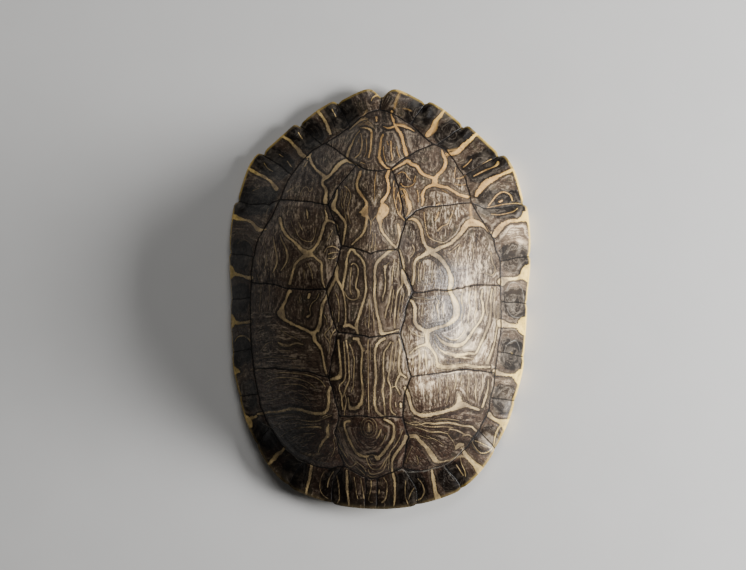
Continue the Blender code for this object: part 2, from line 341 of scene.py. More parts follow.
# ---------------------------------------------------------------- how the paints lie
# Noise: how wide its lumps are in mm, how often they break up, how rough they are
BROAD_NOISE = (26.0, 2, 0.5)
CLOUD_NOISE = (8.0, 3, 0.5)
MOTTLE_NOISE = (2.6, 3, 0.65)
FINE_NOISE = (0.9, 2, 0.5)
PORE_NOISE = (0.8, 2, 0.5)
STRAND_NOISE = (1.5, 2, 0.6)
HAIR_NOISE = (0.7, 1, 0.5)
ROUND_STRAND_NOISE = (1.7, 1, 0.5)
LAYER_NOISE = (1.0, 2, 0.5)
FLOOR_NOISE = (40.0, 3, 0.5)
NOISE_MIDDLE = 0.5

# How many times longer than wide the streaks are, how high the layers of the edge are,
# and where hairs and layers cut through their noise
STRAND_STRETCH = 9
HAIR_STRETCH = 4
HAIR_CUT = 7
ROUND_STRETCH = 20
LAYER_STRETCH = 16
LAYER_HEIGHT = 0.9
LAYER_CUT = 5

# How much of each noise moves the borders and edges of the paints
RAGGED = {
    "bend": {"broad": 4.0, "cloud": 1.4, "mottle": 0.5},
    "wander": {"cloud": 3.0, "mottle": 1.2},
    "streaks": {"fine": 0.16},
    "line": {"fine": 1.1, "mottle": 2.2, "cloud": 1.0},
    "dull": {"mottle": 2.0, "cloud": 2.0},
    "chalk": {"fine": 2.2, "mottle": 2.6},
    "seam": {"mottle": 0.8},
    "joint": {"mottle": 1.2},
    "blotch": {"cloud": 0.5, "mottle": 0.25},
    "halo": {"cloud": 1.2},
    "edging": {"cloud": 0.4},
    "lip_darkening": {"cloud": 3.0},
    "lip smudge": {"cloud": 1.5, "mottle": 0.8},
    "under smudge": {"cloud": 1.1, "mottle": 0.6},
    "stain": {"cloud": 34.0, "broad": 16.0},
}

# How the streaks of the rim bend, how strands and hairs mix, how calm they are on the rim
RIM_BEND = 7.0
STRAND_PART = 0.55
HAIR_PART = 0.45
ROUND_PART = 0.5
RIM_CALM = 0.55

# Where a value starts to show and where it shows fully: noise and streaks run from 0 to 1,
# blotches and smudges are 1 on their borders, and the rest is in millimetres
EVEN_MIX = (0.3, 0.7)
PATCHES = (0.35, 0.62)
LIGHT_STREAKS = (0.50, 0.60)
DEEP_STREAKS = (0.38, 0.49)
RED_MOTTLE = (0.35, 0.62)
SPECKS = (0.56, 0.70)
SPECKLED = (0.45, 0.62)
OFF_BLOTCHES = (1.2, 1.5)
BLOTCH_BORDER = (0.86, 1.06)
EDGING_BORDER = (0.55, 0.95)
LIP_SMUDGES = (0.20, 0.95)
UNDER_SMUDGES = (0.30, 0.80)
NEAR_LINES = (2.5, 6.0)
HALO = (0.2, 2.6)
OUTLINE = (0.1, 0.9)
GOLDEN_SIDE = (-25, 10)
GOLDEN_TAIL = (20, 68)
EDGE_LAYERS = (0.36, 0.50)
LIP_DARKER_LOW = (0.2, 4.5)
STAIN_HEIGHT = (4.0, 46.0)
UNDER_SPECKS = (0.30, 0.50)
SMALL_PORES = (0.30, 0.45)
SAWN_PORES = (0.42, 0.55)

# The same, with the paint's strength first
OLIVE_CLOUDS = (0.55, 0.50, 0.66)
DUSTY_MOTTLE = (0.50, 0.45, 0.75)
WORN_AND_SHEEN_CLOUDS = (0.9, 0.30, 0.66)
CREAM_WEAR_AND_SHEEN = (0.42, 0.62, 1.0)
BLOTCH_CLOUDS = (0.30, 0.48, 0.66)
BLOTCH_STREAKS = (0.34, 0.50, 0.60)
CREAM_LINES_WORN_AND_SHEEN = (0.85, 0.35, 0.95)
LINE_MOTTLE = (0.30, 0.30, 0.55)
EDGING_WEAR = (0.3, 0.45, 0.65)
UNDER_MOTTLE = (0.50, 0.35, 0.7)
BONE_MOTTLE = (0.12, 0.50, 0.70)

# How strong each paint is; tan streaks and lines have one strength everywhere and one that
# the patches add
GAP_STRENGTH = 0.48
TAN_STRENGTH = (0.16, 0.44)
SPECK_STRENGTH = 0.40
WORN_AND_SHEEN_STRENGTH = 0.45
RUBBED_AND_SHEEN_STRENGTH = 0.58
RUBBED_AND_SHEEN_STRANDS = 0.90
BLOTCH_STRENGTH = 0.92
BLOTCH_WEAR_AND_SHEEN = 0.35
HALO_STRENGTH = 0.50
OUTLINE_STRENGTH = 0.45
GOLD_STRENGTH = 0.75
GLOW_STRENGTH = 0.80
LINE_STRENGTH = (0.45, 0.25)
DULL_STRENGTH = 0.62
LAYER_STRENGTH = 0.40
LIP_DARKER_LOW_STRENGTH = 0.34
LIP_SMUDGE_STRENGTH = 0.72
CHALK_STRENGTH = 0.36
SEAM_STRENGTH = 0.90
SMOKE_AND_SHADE_STRENGTH = 0.84
UNDER_SPECK_STRENGTH = 0.45
UNDER_SMUDGE_STRENGTH = 0.88
STAIN_STRENGTH = 0.46
PORE_STRENGTH = 0.35
SAWN_STRENGTH = 0.5
JOINT_STRENGTH = 0.6

# The least that shows: dust off the worn places and the painted sheen, thin lines, the yellow
# edge on blotches, and chalk and joints off the patches
LEAST_DUST = 0.3
LEAST_LINE = 0.34
LEAST_EDGING = 0.35
LEAST_CHALK = 0.3
LEAST_JOINT = 0.35

# How much of a paint is lost in the gaps between strands, on lines and light streaks, in
# the rim's glow and in chalk
RUBBED_AND_SHEEN_LOST_IN_GAPS = 0.92
LINE_LOST_IN_GAPS = 0.30
DULL_LOST_IN_GAPS = 0.6
SMOKE_AND_SHADE_LOST_ON_LINES = 0.16
SMOKE_AND_SHADE_LOST_ON_STREAKS = 0.22
SMOKE_AND_SHADE_LOST_IN_GLOW = 0.9
SEAM_LOST_IN_CHALK = 0.9

# A stored stroke: where its paint is full and where it ends, in half widths from its edge
STROKE_CORE = -0.55
STROKE_END = 0.20

# How much wider the dull lines fade, and the least reach that a half width is worked out from
DULL_SOFTNESS = 2.0
LEAST_REACH = 0.1

# Finish of the horn, the bone and the floor, and how much each thing adds to it
HORN_POLISH = {"mottle": 0.12, "deep_streak": 0.22, "light_streak": -0.05, "line": 0.05,
               "seam": 0.30}
HORN_RELIEF = {"streaks": 0.70, "mottle": 0.35, "line": 0.06, "fine": 0.14, "seam": -0.8}
BONE_RELIEF = {"pores": 0.5, "joint": -0.6}
HORN_ROUGHNESS = 0.24
BONE_ROUGHNESS = 0.72
FLOOR_ROUGHNESS = 0.8
HORN_SHINE = 0.17
BUMP_STRENGTH = 0.6
BUMP_HEIGHT = 0.0005
SCREEN_GAMMA = 2.2

# ---------------------------------------------------------------- camera, light and floor
# The camera's distance and the scale of the picture at the height that it is aimed at
CAMERA_DISTANCE = 1250.0
MM_PER_PIXEL = 0.666
AIM_HEIGHT = 10.0
PHOTO_WIDTH = 746
SENSOR = 36.0

# How far it stands off the upright, how it is rolled, and how far the shell is off the middle
VIEW_FROM_RIGHT = math.radians(4.2)
VIEW_FROM_NECK = math.radians(4.0)
ROLL = math.radians(1.0)
PHOTO_OFFSET = (5.0 * MM_PER_PIXEL, 12.2 * MM_PER_PIXEL)

# In metres
CAMERA_SIGHT = 20.0
FLOOR_WIDTH = 6.0

# Each light: its place, what it is aimed at, its size, all in metres, and its power in watts
LIGHTS = {
    "window": ((1.20, -0.06, 0.50), (0.03, 0.0, 0.04), (0.58, 0.58), 57),
    "ceiling": ((0.25, 1.05, 1.50), (0.0, 0.0, 0.0), (0.9, 0.9), 13.5),
}
AIR_COLOUR = (1.0, 1.0, 1.0, 1.0)
AIR_LIGHT = 0.055

# ---------------------------------------------------------------- yellow lines, in mm
# Each line is a brush stroke seen from above: (across, along, width). A point
# without a width keeps the width of the point before it.
LINES_FIFTH_VERTEBRAL = (
    ((7.4, 124.2, 1.8), (7.2, 121.5, 1.2), (8.5, 118.5, 1.8), (9.5, 115), (11, 112, 2),
     (13.5, 108.5, 2.4), (15.5, 104.5, 2), (17, 98.5, 2.2), (18.5, 93.5, 2.6), (19.5, 90.5, 2.2)),
    ((10.5, 113.2, 1.4), (8.5, 112, 1.8), (6, 111.2, 1.6), (2.8, 112.4, 1)),
    ((11.5, 113.8, 1.2), (15, 113.2, 1.8), (19, 112, 1.6), (23, 110, .9)),
    ((3, 106, 1.6), (2, 103), (2, 97), (1.8, 92), (2, 88, 2), (4, 84.5), (6.5, 81.5, 1.5),
     (8, 80.5)),
    ((8.5, 101, 1.2), (9, 97), (9.5, 92), (10.5, 88), (10, 86.5)),
    ((4, 97, .9), (4.5, 92), (5.5, 88), (6.5, 85.5)),
    ((12.5, 97, .9), (13.5, 93), (15, 89)),
    ((6, 101, .9), (7, 98)),
    ((-12.5, 111.6, 1), (-8.5, 111, 1.6), (-5.3, 109.3, 1.8), (-4.5, 106, 1.6), (-4.5, 103),
     (-4.2, 97), (-4.5, 92), (-5, 88.5)),
    ((-13, 109, 1.2), (-15.5, 105), (-17, 100, 1.6), (-18.5, 96, 2), (-19.5, 92), (-19.5, 90)),
    ((-12, 107, 1), (-11, 104), (-10.3, 99, 1.2), (-10.5, 95), (-11.5, 91, 1.4), (-14, 88.5)),
    ((-13, 103, .9), (-12.5, 100)),
    ((-8, 103, .9), (-7, 97), (-7, 92), (-8, 89)),
    ((-10, 85, 1), (-7, 83.5)),
    ((-1.5, 136, .9), (-4, 135.6, 1.6), (-6, 134, 1.2), (-6.8, 131.5, .8)),
    ((9.5, 139.5, 1.2), (13, 138.6, 2.4), (17, 136.3, 1.4)),
    ((-33, 126, 1), (-30, 120.5)),
    ((-20, 110.6, 1), (-16.3, 114.8, 1.5), (-12, 117.8, 1.5), (-8.5, 118.4, 1)),
    ((-2.6, 119.6, 1.6), (-2.3, 116.8, 1.3)),
)
LINES_FOURTH_VERTEBRAL = (
    ((-9.5, 78, 2), (-10, 74.5, 2.2), (-11, 71, 2), (-10.5, 66, 1.8), (-8, 62), (-6, 59, 1.6),
     (-4, 56.5), (-3.8, 54, 2.4), (-4.5, 51, 4), (-4.8, 48.5), (-3.2, 46, 2), (-3.5, 41.5, 1.8),
     (-4, 38), (-6, 34.5), (-9, 31.5, 1.4), (-12, 28.5, 1.2)),
    ((-7.5, 49.5, 1.5), (-5, 50, 3)),
    ((-2.6, 47.5, .8), (-1.4, 45), (-.4, 43, 1.2), (-.3, 39.5, .8), (-.5, 35)),
    ((2.8, 47.5, .8), (1.2, 45), (-.2, 43.5)),
    ((9, 80, 1.6), (8.3, 77, 2), (8, 74), (9, 70.5), (9.5, 66), (9, 62.5, 1.8), (7.5, 59.5, 2.4),
     (6, 57), (6.5, 54.5), (7.5, 51.5, 6.5), (6, 48, 5.5), (5, 45.5, 4), (5.5, 42.5, 2),
     (6, 39, 1.8), (7.5, 36), (10, 33), (13, 29.5, 1.6), (16, 27)),
    ((16.5, 42, 1.6), (17.5, 38, 2.2), (18, 34.5, 1.8), (17.5, 30.5, 1.6), (16.5, 28)),
    ((18.5, 66, 1), (20.5, 62, 1.4), (22, 58, 2.6), (23.5, 54, 2.8), (23, 50.5, 1.4),
     (21.5, 47.5, 1)),
    ((15, 77, 1), (17, 78.5), (19.5, 77.5), (21, 75, 1.1), (23, 73)),
    ((17, 70, .9), (19, 68), (23, 68.5), (25.5, 71), (26, 73)),
    ((13.5, 67, 1), (13, 62), (14, 57), (15.5, 52), (17, 48.5), (20, 45.5)),
    ((15, 56, .9), (15.2, 61), (16.5, 65), (18.5, 66.5, 1.1), (20.5, 64.5), (22, 61, .9)),
    ((17.5, 60, .9), (19, 62.5), (20.8, 58), (21.5, 54, .9)),
    ((16.5, 66.5, 1), (16, 62), (17.5, 57), (18, 53), (17.5, 49), (20.5, 45)),
    ((12.5, 72, .8), (12.5, 68), (13, 64)),
    ((1, 78, .8), (.5, 70), (1, 62), (1, 57)),
    ((1, 36, 1), (1.2, 31), (.5, 26)),
    ((2.5, 36, .8), (3, 30), (2.5, 25)),
    ((-19, 68, .9), (-16, 65), (-14.5, 61, 1), (-15, 57), (-15.8, 52), (-15, 47), (-13.5, 42)),
    ((-17.5, 66, .8), (-17.5, 62), (-18.5, 57), (-18, 52), (-17, 47), (-16, 44)),
    ((-21, 66, .8), (-20, 62), (-20.5, 57), (-19, 52)),
    ((-24, 66, 1.2), (-24, 61, 2), (-25.5, 56, 3), (-25, 52.5), (-22.5, 50, 2), (-20, 47, 1.8),
     (-17.5, 44), (-16.5, 40.5), (-17, 36), (-17.5, 31, 1.4), (-18, 28.5)),
)
LINES_THIRD_VERTEBRAL = (
    ((-12, 26, 2), (-10.5, 25), (-9.5, 23, 1.8), (-7, 21, 1.6), (-5, 18.5), (-3.5, 15),
     (-3.2, 10, 1.5), (-2.6, 5), (-2.3, 0), (-3, -5), (-4.5, -10, 1.6), (-6, -15, 1.8),
     (-7.5, -20, 2), (-8, -24, 2.2), (-7, -28, 1.4)),
    ((-12, 26, 2), (-14, 23, 1.8), (-15, 18), (-15.5, 12, 1.7), (-16.5, 6, 1.6), (-17.5, 1, 2)),
    ((-21.5, 17, 1.4), (-21.3, 13, 2.4), (-21.3, 8), (-20, 5, 1.8), (-18, 1.5), (-16.5, -3, 1.4),
     (-15.5, -8, 1.2), (-15, -14), (-15, -19), (-15.2, -23, 2)),
    ((-22, 7, 1.8), (-24, 3), (-26, -1), (-27.5, -5), (-29.5, -8), (-30.5, -12, 2.2),
     (-31, -17, 1.8), (-31.5, -22), (-33, -26)),
    ((-15.5, -23, 2.4), (-13, -22.5, 2), (-10, -24, 1.6), (-8, -24.5, 1.8)),
    ((-12, 15.5, 1), (-10.5, 16.5), (-8, 14.5, 1.2), (-7.5, 10), (-8.5, 5), (-8.8, 1),
     (-7.2, -1, 1.6), (-7, -4, 1.4), (-8, -6, 1.1), (-11, -6.5), (-14, -5), (-16, -1.5, 1)),
    ((-12, 14, 1.1), (-12.3, 9), (-12.5, 4), (-12.5, 0), (-11.5, -3)),
    ((-22, -2, 1), (-20.5, -5), (-19.3, -10, 1.1), (-19.3, -15), (-19.5, -20)),
    ((-23.5, -14, 1), (-24, -22), (-26, -25), (-28.5, -28), (-27, -31)),
    ((-20.5, -24, 1), (-23, -27), (-25, -31)),
    ((-29, -16, .9), (-27.5, -19), (-27, -22)),
    ((14, 25.5, 1.6), (11, 24, 1.8), (8, 21, 2), (5, 18), (3.5, 15, 1.8), (3, 10, 1.7),
     (3.3, 4), (3, -2), (3.7, -8), (4.7, -14), (6, -19, 1.8), (7, -24, 2.2), (8, -27.5, 2.6),
     (11, -27, 1.4), (14, -26.5), (16.5, -25.5, 1), (18.5, -25)),
    ((16, 26.5, 1.4), (18, 25), (19.5, 21, 1.8), (20.5, 16, 2), (21, 11), (22, 6, 2.2),
     (23.5, 3, 2), (24.5, 0, 1.8), (24.3, -3, 1.4)),
    ((20, 13, 1.4), (20, 8), (20, 3, 1.2), (18, 0, 1.4), (17, -3, 1.2), (16.5, -8),
     (16, -14, 1.3), (15.7, -19), (16, -24)),
    ((12, 17.5, 1), (10, 15), (9.5, 14.5, 2.2), (9.3, 11, 1.2), (9.8, 6, 1), (9.5, 0),
     (8.5, -4, 1.2), (8.2, -7, 1)),
    ((15, 19, 1), (14.5, 14, 1.1), (14, 9, 1), (13.8, 4)),
    ((13.8, 2, 1.2), (12.8, -3), (12, -8), (10.5, -13), (9.8, -18, 1)),
    ((15, 0, .8), (14.3, -6), (13.8, -12), (13, -17)),
    ((17.5, 20, .9), (17.5, 14), (17, 8)),
    ((19.5, -3, .8), (18.5, -10), (18, -16), (18, -22)),
    ((21.5, -2, .8), (20.5, -8), (20, -14)),
    ((-.3, -6, .9), (0, -12), (0, -18, 1), (-.3, -24)),
    ((2.5, -14, .8), (3, -20), (3, -26)),
    ((-2.5, -17, .8), (-2.5, -23)),
    ((26, 29, 1), (27.3, 26), (26.5, 23), (25, 21)),
    ((-29.5, 24, 1), (-28, 26.5), (-25, 27.5, 1.2), (-22, 26.5), (-20, 25)),
    ((-27, 22.5, 1), (-24, 23.5), (-20.5, 23.5)),
    ((-28, 20, .9), (-24, 19.5), (-22, 21)),
)
LINES_SECOND_VERTEBRAL = (
    ((-9.5, -31, 2), (-7, -31), (-6.5, -33, 1.8), (-4.8, -36, 1.6), (-4.3, -40, 1.5),
     (-4.8, -46), (-5, -52), (-4.6, -58), (-4.2, -64, 1.6), (-4.8, -68, 1.8), (-6, -71.5, 2.4),
     (-8.5, -74), (-11, -74.5, 2), (-13, -74.5, 1.6), (-13.5, -71, 1.2), (-13.8, -68)),
    ((-19.5, -32, 1.6), (-19.2, -37), (-18.5, -43), (-18, -49), (-18.2, -53, 2.4),
     (-19.5, -55, 2.6), (-23, -56, 2.2), (-25, -56.5, 1.4)),
    ((-16, -33, 1), (-15.5, -40, 1.1), (-15.2, -47), (-15, -53, 1.2), (-16, -57), (-19, -60),
     (-19.3, -63), (-18, -66.5, 1.3), (-18, -71), (-17.5, -75)),
    ((-14.5, -32, 1.2), (-13.5, -38, 1.1), (-12.8, -44), (-12.8, -50), (-12.6, -56, 1.3),
     (-14, -59.5), (-15.5, -63), (-17, -67, 1.2)),
    ((-12.5, -34, 1), (-10.8, -37.5, 1.3), (-10.2, -40, 1.1), (-9.3, -44, 1), (-9.6, -50),
     (-9.8, -55), (-10.2, -60), (-11.5, -64, 1.1)),
    ((-16, -65, 1), (-15, -70), (-16.5, -76, 1.1), (-16.8, -79)),
    ((-34, -33, 1.8), (-31.5, -35.5), (-30, -40, 1.6), (-29, -46), (-27.5, -52.5)),
    ((-25, -27, .9), (-24.5, -31), (-25, -34)),
    ((-26.5, -31, .9), (-25, -35), (-25.5, -40)),
    ((9.5, -30.5, 2), (7, -32), (5, -34.5, 1.8), (3.8, -38, 1.7), (3.8, -44, 1.6),
     (4.2, -50, 1.7), (4.3, -56), (3.5, -61, 1.6), (3.2, -67, 1.7), (3.3, -72, 1.8),
     (4.5, -76), (7, -78.5, 1.6), (9.5, -79.5, 1.4)),
    ((13.5, -32.5, 1.2), (11.5, -36, 1.3), (9.5, -39, 1.4), (9, -45, 1.2), (9, -51), (9.3, -57),
     (8.3, -63, 1.6), (9, -69, 1.3), (9.3, -75, 1.2), (9.5, -78)),
    ((15, -33, 1.1), (14.5, -37), (13.5, -43), (13, -49), (12, -54, 1.3), (11.8, -56.5),
     (13.3, -60), (13.3, -66), (12.8, -72), (13.5, -76), (16, -78, 1)),
    ((17.5, -32, 1), (16.5, -39), (15.5, -46), (14.8, -50)),
    ((18.5, -30, 1.2), (19.8, -35, 1.6), (19, -41), (18.6, -47, 1.7), (19.2, -51.5, 2),
     (21, -53, 1.6), (23, -54.5, 1.4)),
    ((19, -53, 1.6), (17.5, -56, 1.4), (16.5, -59.5, 1.3), (18, -62.5), (19, -65, 1)),
    ((14.5, -60.5, 1), (16.5, -60)),
    ((19.5, -71, 2), (19.5, -72.5)),
    ((16, -70, 1), (16.5, -73)),
    ((-.5, -31, .9), (-.7, -38), (-.5, -46), (-.5, -54), (-.6, -62), (-.7, -70), (-.8, -77)),
    ((1, -34, .7), (1, -44)),
)
LINES_FIRST_VERTEBRAL = (
    ((-1.2, -84, 1.4), (-1.2, -88)),
    ((6.5, -87.5, 1.4), (5, -91), (3.5, -93)),
    ((9.5, -91, .9), (7.5, -95.5, 1.1), (5.5, -98)),
    ((9, -81, 1.6), (12, -82.5, 1.8), (14.5, -84.5), (14.8, -88.5), (13.8, -93, 1.9),
     (11, -97.5, 2), (8, -101.5), (5, -105, 2.2), (3, -106.5, 2.6), (1.5, -104.5, 1.2),
     (-1, -104.2, 1), (-3.5, -105)),
    ((-13.5, -82.5, 1.8), (-16, -83), (-17, -85.5, 1.6), (-16, -90), (-14.5, -94.5, 1.8),
     (-12.5, -99), (-9.5, -103.5, 2), (-6, -105.2, 1.8), (-3, -105.2, 1.5)),
    ((-4, -104.5, 1), (-3.2, -109.5), (-.5, -113.3, 1.2), (3.5, -113.6), (6, -111.6), (8, -108),
     (11.3, -104)),
    ((-3.2, -113.8, .9), (-2, -116.6, 1.1), (2, -116.6), (6.3, -114.6), (8, -111),
     (9.5, -107.5, .9)),
    ((-4, -117.4, .8), (-1, -118.9, 1), (3, -117.8, .8)),
    ((-2, -107, .9), (-.5, -110), (2, -110.5)),
    ((22, -92, 2.6), (21.5, -94, 2.4), (19, -98, 2), (16, -102, 1.9), (13.5, -106, 1.8),
     (12.5, -110, 1.6), (12.5, -114.5), (13, -117, 2.2), (13.8, -122, 2), (13.8, -128, 1.8),
     (13.5, -134, 1.6), (13, -138, 1.4)),
    ((20, -88, 1), (18, -93), (15, -98, 1.1), (12, -101.5), (10.8, -105.5, 1), (10.5, -110),
     (9.8, -114)),
    ((6.5, -119, 1), (8.8, -123), (8.5, -128.5, 1.3), (7.5, -133.5), (5, -135.8, 1.5)),
    ((4.5, -120.5, .8), (5, -124.5)),
    ((3.5, -127, 1.3), (3.3, -130)),
    ((-17.5, -115, 1.6), (-17.5, -120, 1.9), (-17.8, -126), (-17.2, -132, 1.7),
     (-16.5, -138, 1.3)),
    ((-1.6, -121.5, 1.4), (-1.9, -126.5, 1.3), (-3, -131, 1.1), (-3.6, -133.8, .9), (-2.5, -135.6),
     (-.5, -135.6)),
    ((-8.6, -119.8, 1), (-7.4, -127, 1.1), (-6.6, -133.5)),
    ((-12.8, -119.3, 1), (-12, -126), (-11.3, -131.5), (-10.5, -134)),
    ((-24.5, -117.5, 1), (-23.5, -123.5, 1.1), (-23, -129.5), (-23.2, -134.5),
     (-24.6, -136.8, .9)),
    ((-22, -86, .9), (-20, -90)),
    ((-23.5, -93, 1.2), (-22, -97), (-20, -101), (-17, -106)),
    ((-20, -104.5, 1), (-18, -109.5), (-15, -112.3, 1.2), (-12.3, -111), (-10, -108.5, .9)),
    ((-11.5, -108.5, .9), (-7, -111.5, 1.1), (-4.6, -115.3, .9)),
    ((-11.5, -111.8, .9), (-8, -115, 1.1), (-5.8, -117.2, .9)),
    ((21, -121, 1), (20.5, -127), (20.8, -132), (22.5, -136.5)),
    ((29, -119.5, 1), (31.5, -122.5), (33, -128, 1.2), (31, -132.5), (28, -133.8)),
    ((22.8, -133, .9), (24.3, -129, 1.1), (26.3, -125.8)),
    ((26, -98, .9), (23, -104), (21.5, -109)),
    ((28.5, -104, .9), (29.5, -108), (29, -110)),
)
LINES_RIGHT_REAR = (
    ((10.5, 79, 1.2), (13, 81.5, 1.6), (17, 84.5, 2.2), (20, 87, 2.6), (23, 84.5, 2.4), (26.5, 83),
     (28.5, 80), (31, 77.5, 2.2), (34, 76.5), (37.5, 75.5, 2.6)),
    ((42.5, 126, 2), (40, 122.5, 2.6), (36.5, 118), (35, 114, 2.4), (33.5, 110.5, 3),
     (32, 107.5, 3.4)),
    ((65, 111.5, 2), (62.5, 108.5, 2.4), (58.5, 104.5, 2.6), (56, 102, 3), (53.5, 98.5, 3.4),
     (50, 95.5, 3), (46, 94.5, 2.4)),
    ((41.5, 97, 1.2), (42.5, 94, 1.8), (44.3, 89.5, 2.4), (44.3, 86, 2.6), (43, 82.5, 2.2),
     (40.5, 79), (38.5, 75.5, 3.4), (38.3, 72.5, 3.6), (37.5, 70.5, 2.6)),
    ((88, 86.5, 2), (86, 85, 2.6), (83, 83.5, 2), (79, 81, 2.4), (75.5, 78.5, 3.6), (71, 75, 4.2),
     (68, 71, 3.6), (66, 67.5, 3), (65, 65.5, 2)),
    ((65, 110.5, 1.4), (69.5, 106.8, 1.8), (74, 102.8), (77.5, 99.2, 1.4), (79, 97, .9)),
    ((88.6, 87, 1.4), (91, 81.5, 2), (93.2, 75, 2.4), (95, 68.5, 2.2), (96.3, 64.8, 1.2)),
    ((97.6, 63, 1.4), (98.4, 59.5, 2.6), (99.2, 55, 4), (100.2, 49, 2.4), (100.8, 44, 1.2)),
    ((56, 85.5, 1), (58.5, 88), (61, 91.5)),
    ((63, 79.5, 1.2), (66.5, 82), (71, 85), (75, 87, 1), (78, 89, 1.6), (78.5, 91)),
    ((61.5, 83, .9), (66, 87), (71, 91), (74, 93)),
    ((51, 85, 1), (50.5, 80), (50.5, 77)),
    ((52, 76.5, 1.2), (55, 77.5), (57.5, 79.5, 1.4)),
    ((51, 72.5, 1), (55, 72), (58, 73)),
    ((38, 71, 3), (42, 70, 2), (46, 69.5), (49, 68, 1.8), (52, 66, 2), (55, 64.8, 2.2),
     (59, 64, 2.4), (61, 64.5, 1.4)),
    ((37, 70.5, 2.4), (34, 69, 1.8), (32, 66.5), (31, 63, 2), (31.5, 59.5, 1.8), (31, 56, 1.6)),
    ((26, 76, .9), (25, 72)),
    ((27.5, 66, .9), (28.5, 62), (28.5, 58)),
    ((40, 56.5, 1.2), (42, 57.5)),
    ((43, 67.5, .8), (46.5, 65.5)),
)
LINES_RIGHT_THIRD_COSTAL = (
    ((23, 45.5, 1.2), (26, 46, 2), (29, 44, 1.8), (31, 39.5, 2), (32, 35), (33, 31), (35, 28),
     (36.5, 26.5, 3)),
    ((41.5, 51.5, 1.2), (40.5, 48, 1.4), (39.5, 46, 1.2)),
    ((50.5, 53.5, .9), (50, 50.5, 1), (48.5, 47), (47.5, 44), (44, 42), (41.5, 39, 1.4)),
    ((32.5, 51, .9), (33, 46), (34, 41), (35, 37), (36.5, 34, 1), (41, 32), (45.5, 31.5)),
    ((37, 25.5, 4), (40, 26, 2.6), (44, 28.5, 2.2), (49, 31), (53, 35), (56.5, 39.5, 2.6),
     (58.5, 43.5, 3.4), (61, 46, 4.4), (64, 46.5, 5), (68, 46, 3), (71, 44.5, 2),
     (73.5, 41.5, 1.4)),
    ((77, 39.5, 3), (79.5, 43.5, 3.6), (82.5, 47.5, 3), (87, 50.5, 2.4), (92, 51.5),
     (95, 53, 3.4), (97.5, 54.5, 6), (99.5, 55.5, 9)),
    ((73, 59.5, 1.2), (75, 62.5), (77.5, 66.5), (80.5, 69.5), (84, 70.2), (87, 68.5), (88.5, 65)),
    ((72, 57.8, .9), (78, 60), (84, 62), (90, 63.3), (94, 63.5)),
    ((75, 53.7, 1), (80, 54), (86, 56), (90, 58), (92, 60)),
    ((80, 63, 1.6), (81.5, 64)),
    ((35, 24, 3), (32, 22, 2.2), (28.5, 19.5, 2), (27.5, 16, 1.8), (27.5, 11), (27, 6, 1.6),
     (26.5, 4)),
    ((39, 24, 3), (43, 21.5, 2.4), (46, 18), (48.5, 14), (50, 10, 3), (50.5, 6, 3.6),
     (49.5, 2, 2.6), (50.5, -1), (53, -6, 4), (54, -11, 4.4), (53.5, -15, 4), (51, -18.5, 3),
     (47.5, -21, 2), (43, -22.5), (38, -24.5, 2.6), (35.5, -26, 3.6)),
    ((31, 18, .9), (30, 12), (30.5, 6)),
    ((34, 16, 1), (33.5, 11), (33, 7)),
    ((38.5, 18, .9), (38.5, 12), (38.5, 6)),
    ((43, 16, .9), (44, 11), (44.5, 6)),
    ((56, 31, 1), (54.5, 27, 1.2), (54, 23, 1), (55, 18)),
    ((63, 32, .9), (64, 27), (64, 22)),
    ((75, 28, 1), (76, 22), (78, 17), (76, 13), (72, 14)),
    ((48, 24.5, .9), (51, 27), (55, 31)),
)
LINES_RIGHT_SECOND_COSTAL = (
    ((24.5, -5.5, 1.4), (27, -7.5, 2), (28.3, -11, 2.4), (28.3, -16, 2.2), (28.5, -20),
     (31, -23, 2.4), (34.5, -25, 2.6)),
    ((35.5, -26, 4), (36, -29.5, 2.6), (36.3, -33, 3.2), (38.5, -36, 2), (41, -39.5, 1.8),
     (42, -43), (42.8, -47, 2.4)),
    ((36, -33.5, 2.4), (32.5, -34.3, 1.4), (28.5, -36.5, 1.2), (25.5, -39.5)),
    ((24, -22, .9), (26, -25.5), (30, -28, 1.1), (33.5, -28.5)),
    ((22.5, -61, 2.2), (24.5, -66), (25.5, -71), (27.5, -75.5, 2.4), (32, -78, 2.6),
     (38, -77.5, 2.4), (44, -76, 2.2), (49, -74.5), (53, -73, 3), (56, -71, 4.4),
     (58.5, -70.5, 3.4), (63, -72, 2), (68, -73.5, 1.8)),
    ((56, -70, 4.4), (56, -66, 2.6), (55.5, -64, 1.6)),
    ((82.3, 9.5, 5.5), (84.5, 11, 3.6), (87.5, 11.8, 2.6), (91, 12.6, 2.4), (94.5, 14, 3),
     (97, 15.5, 5.5), (99, 16.5, 9), (101.5, 17, 13)),
    ((82, -17.5, 5.5), (84, -17.8, 4.2), (87, -18.3, 3.2), (91, -18.5, 2.8), (94.5, -18.5, 3.6),
     (97, -18.3, 8), (99.5, -18, 14)),
    ((78.8, -49, 4), (81, -49.8, 2.8), (85, -50.5, 2.2), (90, -50.7, 2.2), (93, -51, 4),
     (95, -51.5, 8), (97, -52, 12)),
    ((74.8, -76.5, 3.2), (77, -78.8, 2.4), (80.5, -80.6, 2.6), (83.5, -81.8, 4), (86, -83, 7),
     (88.5, -84, 10)),
)
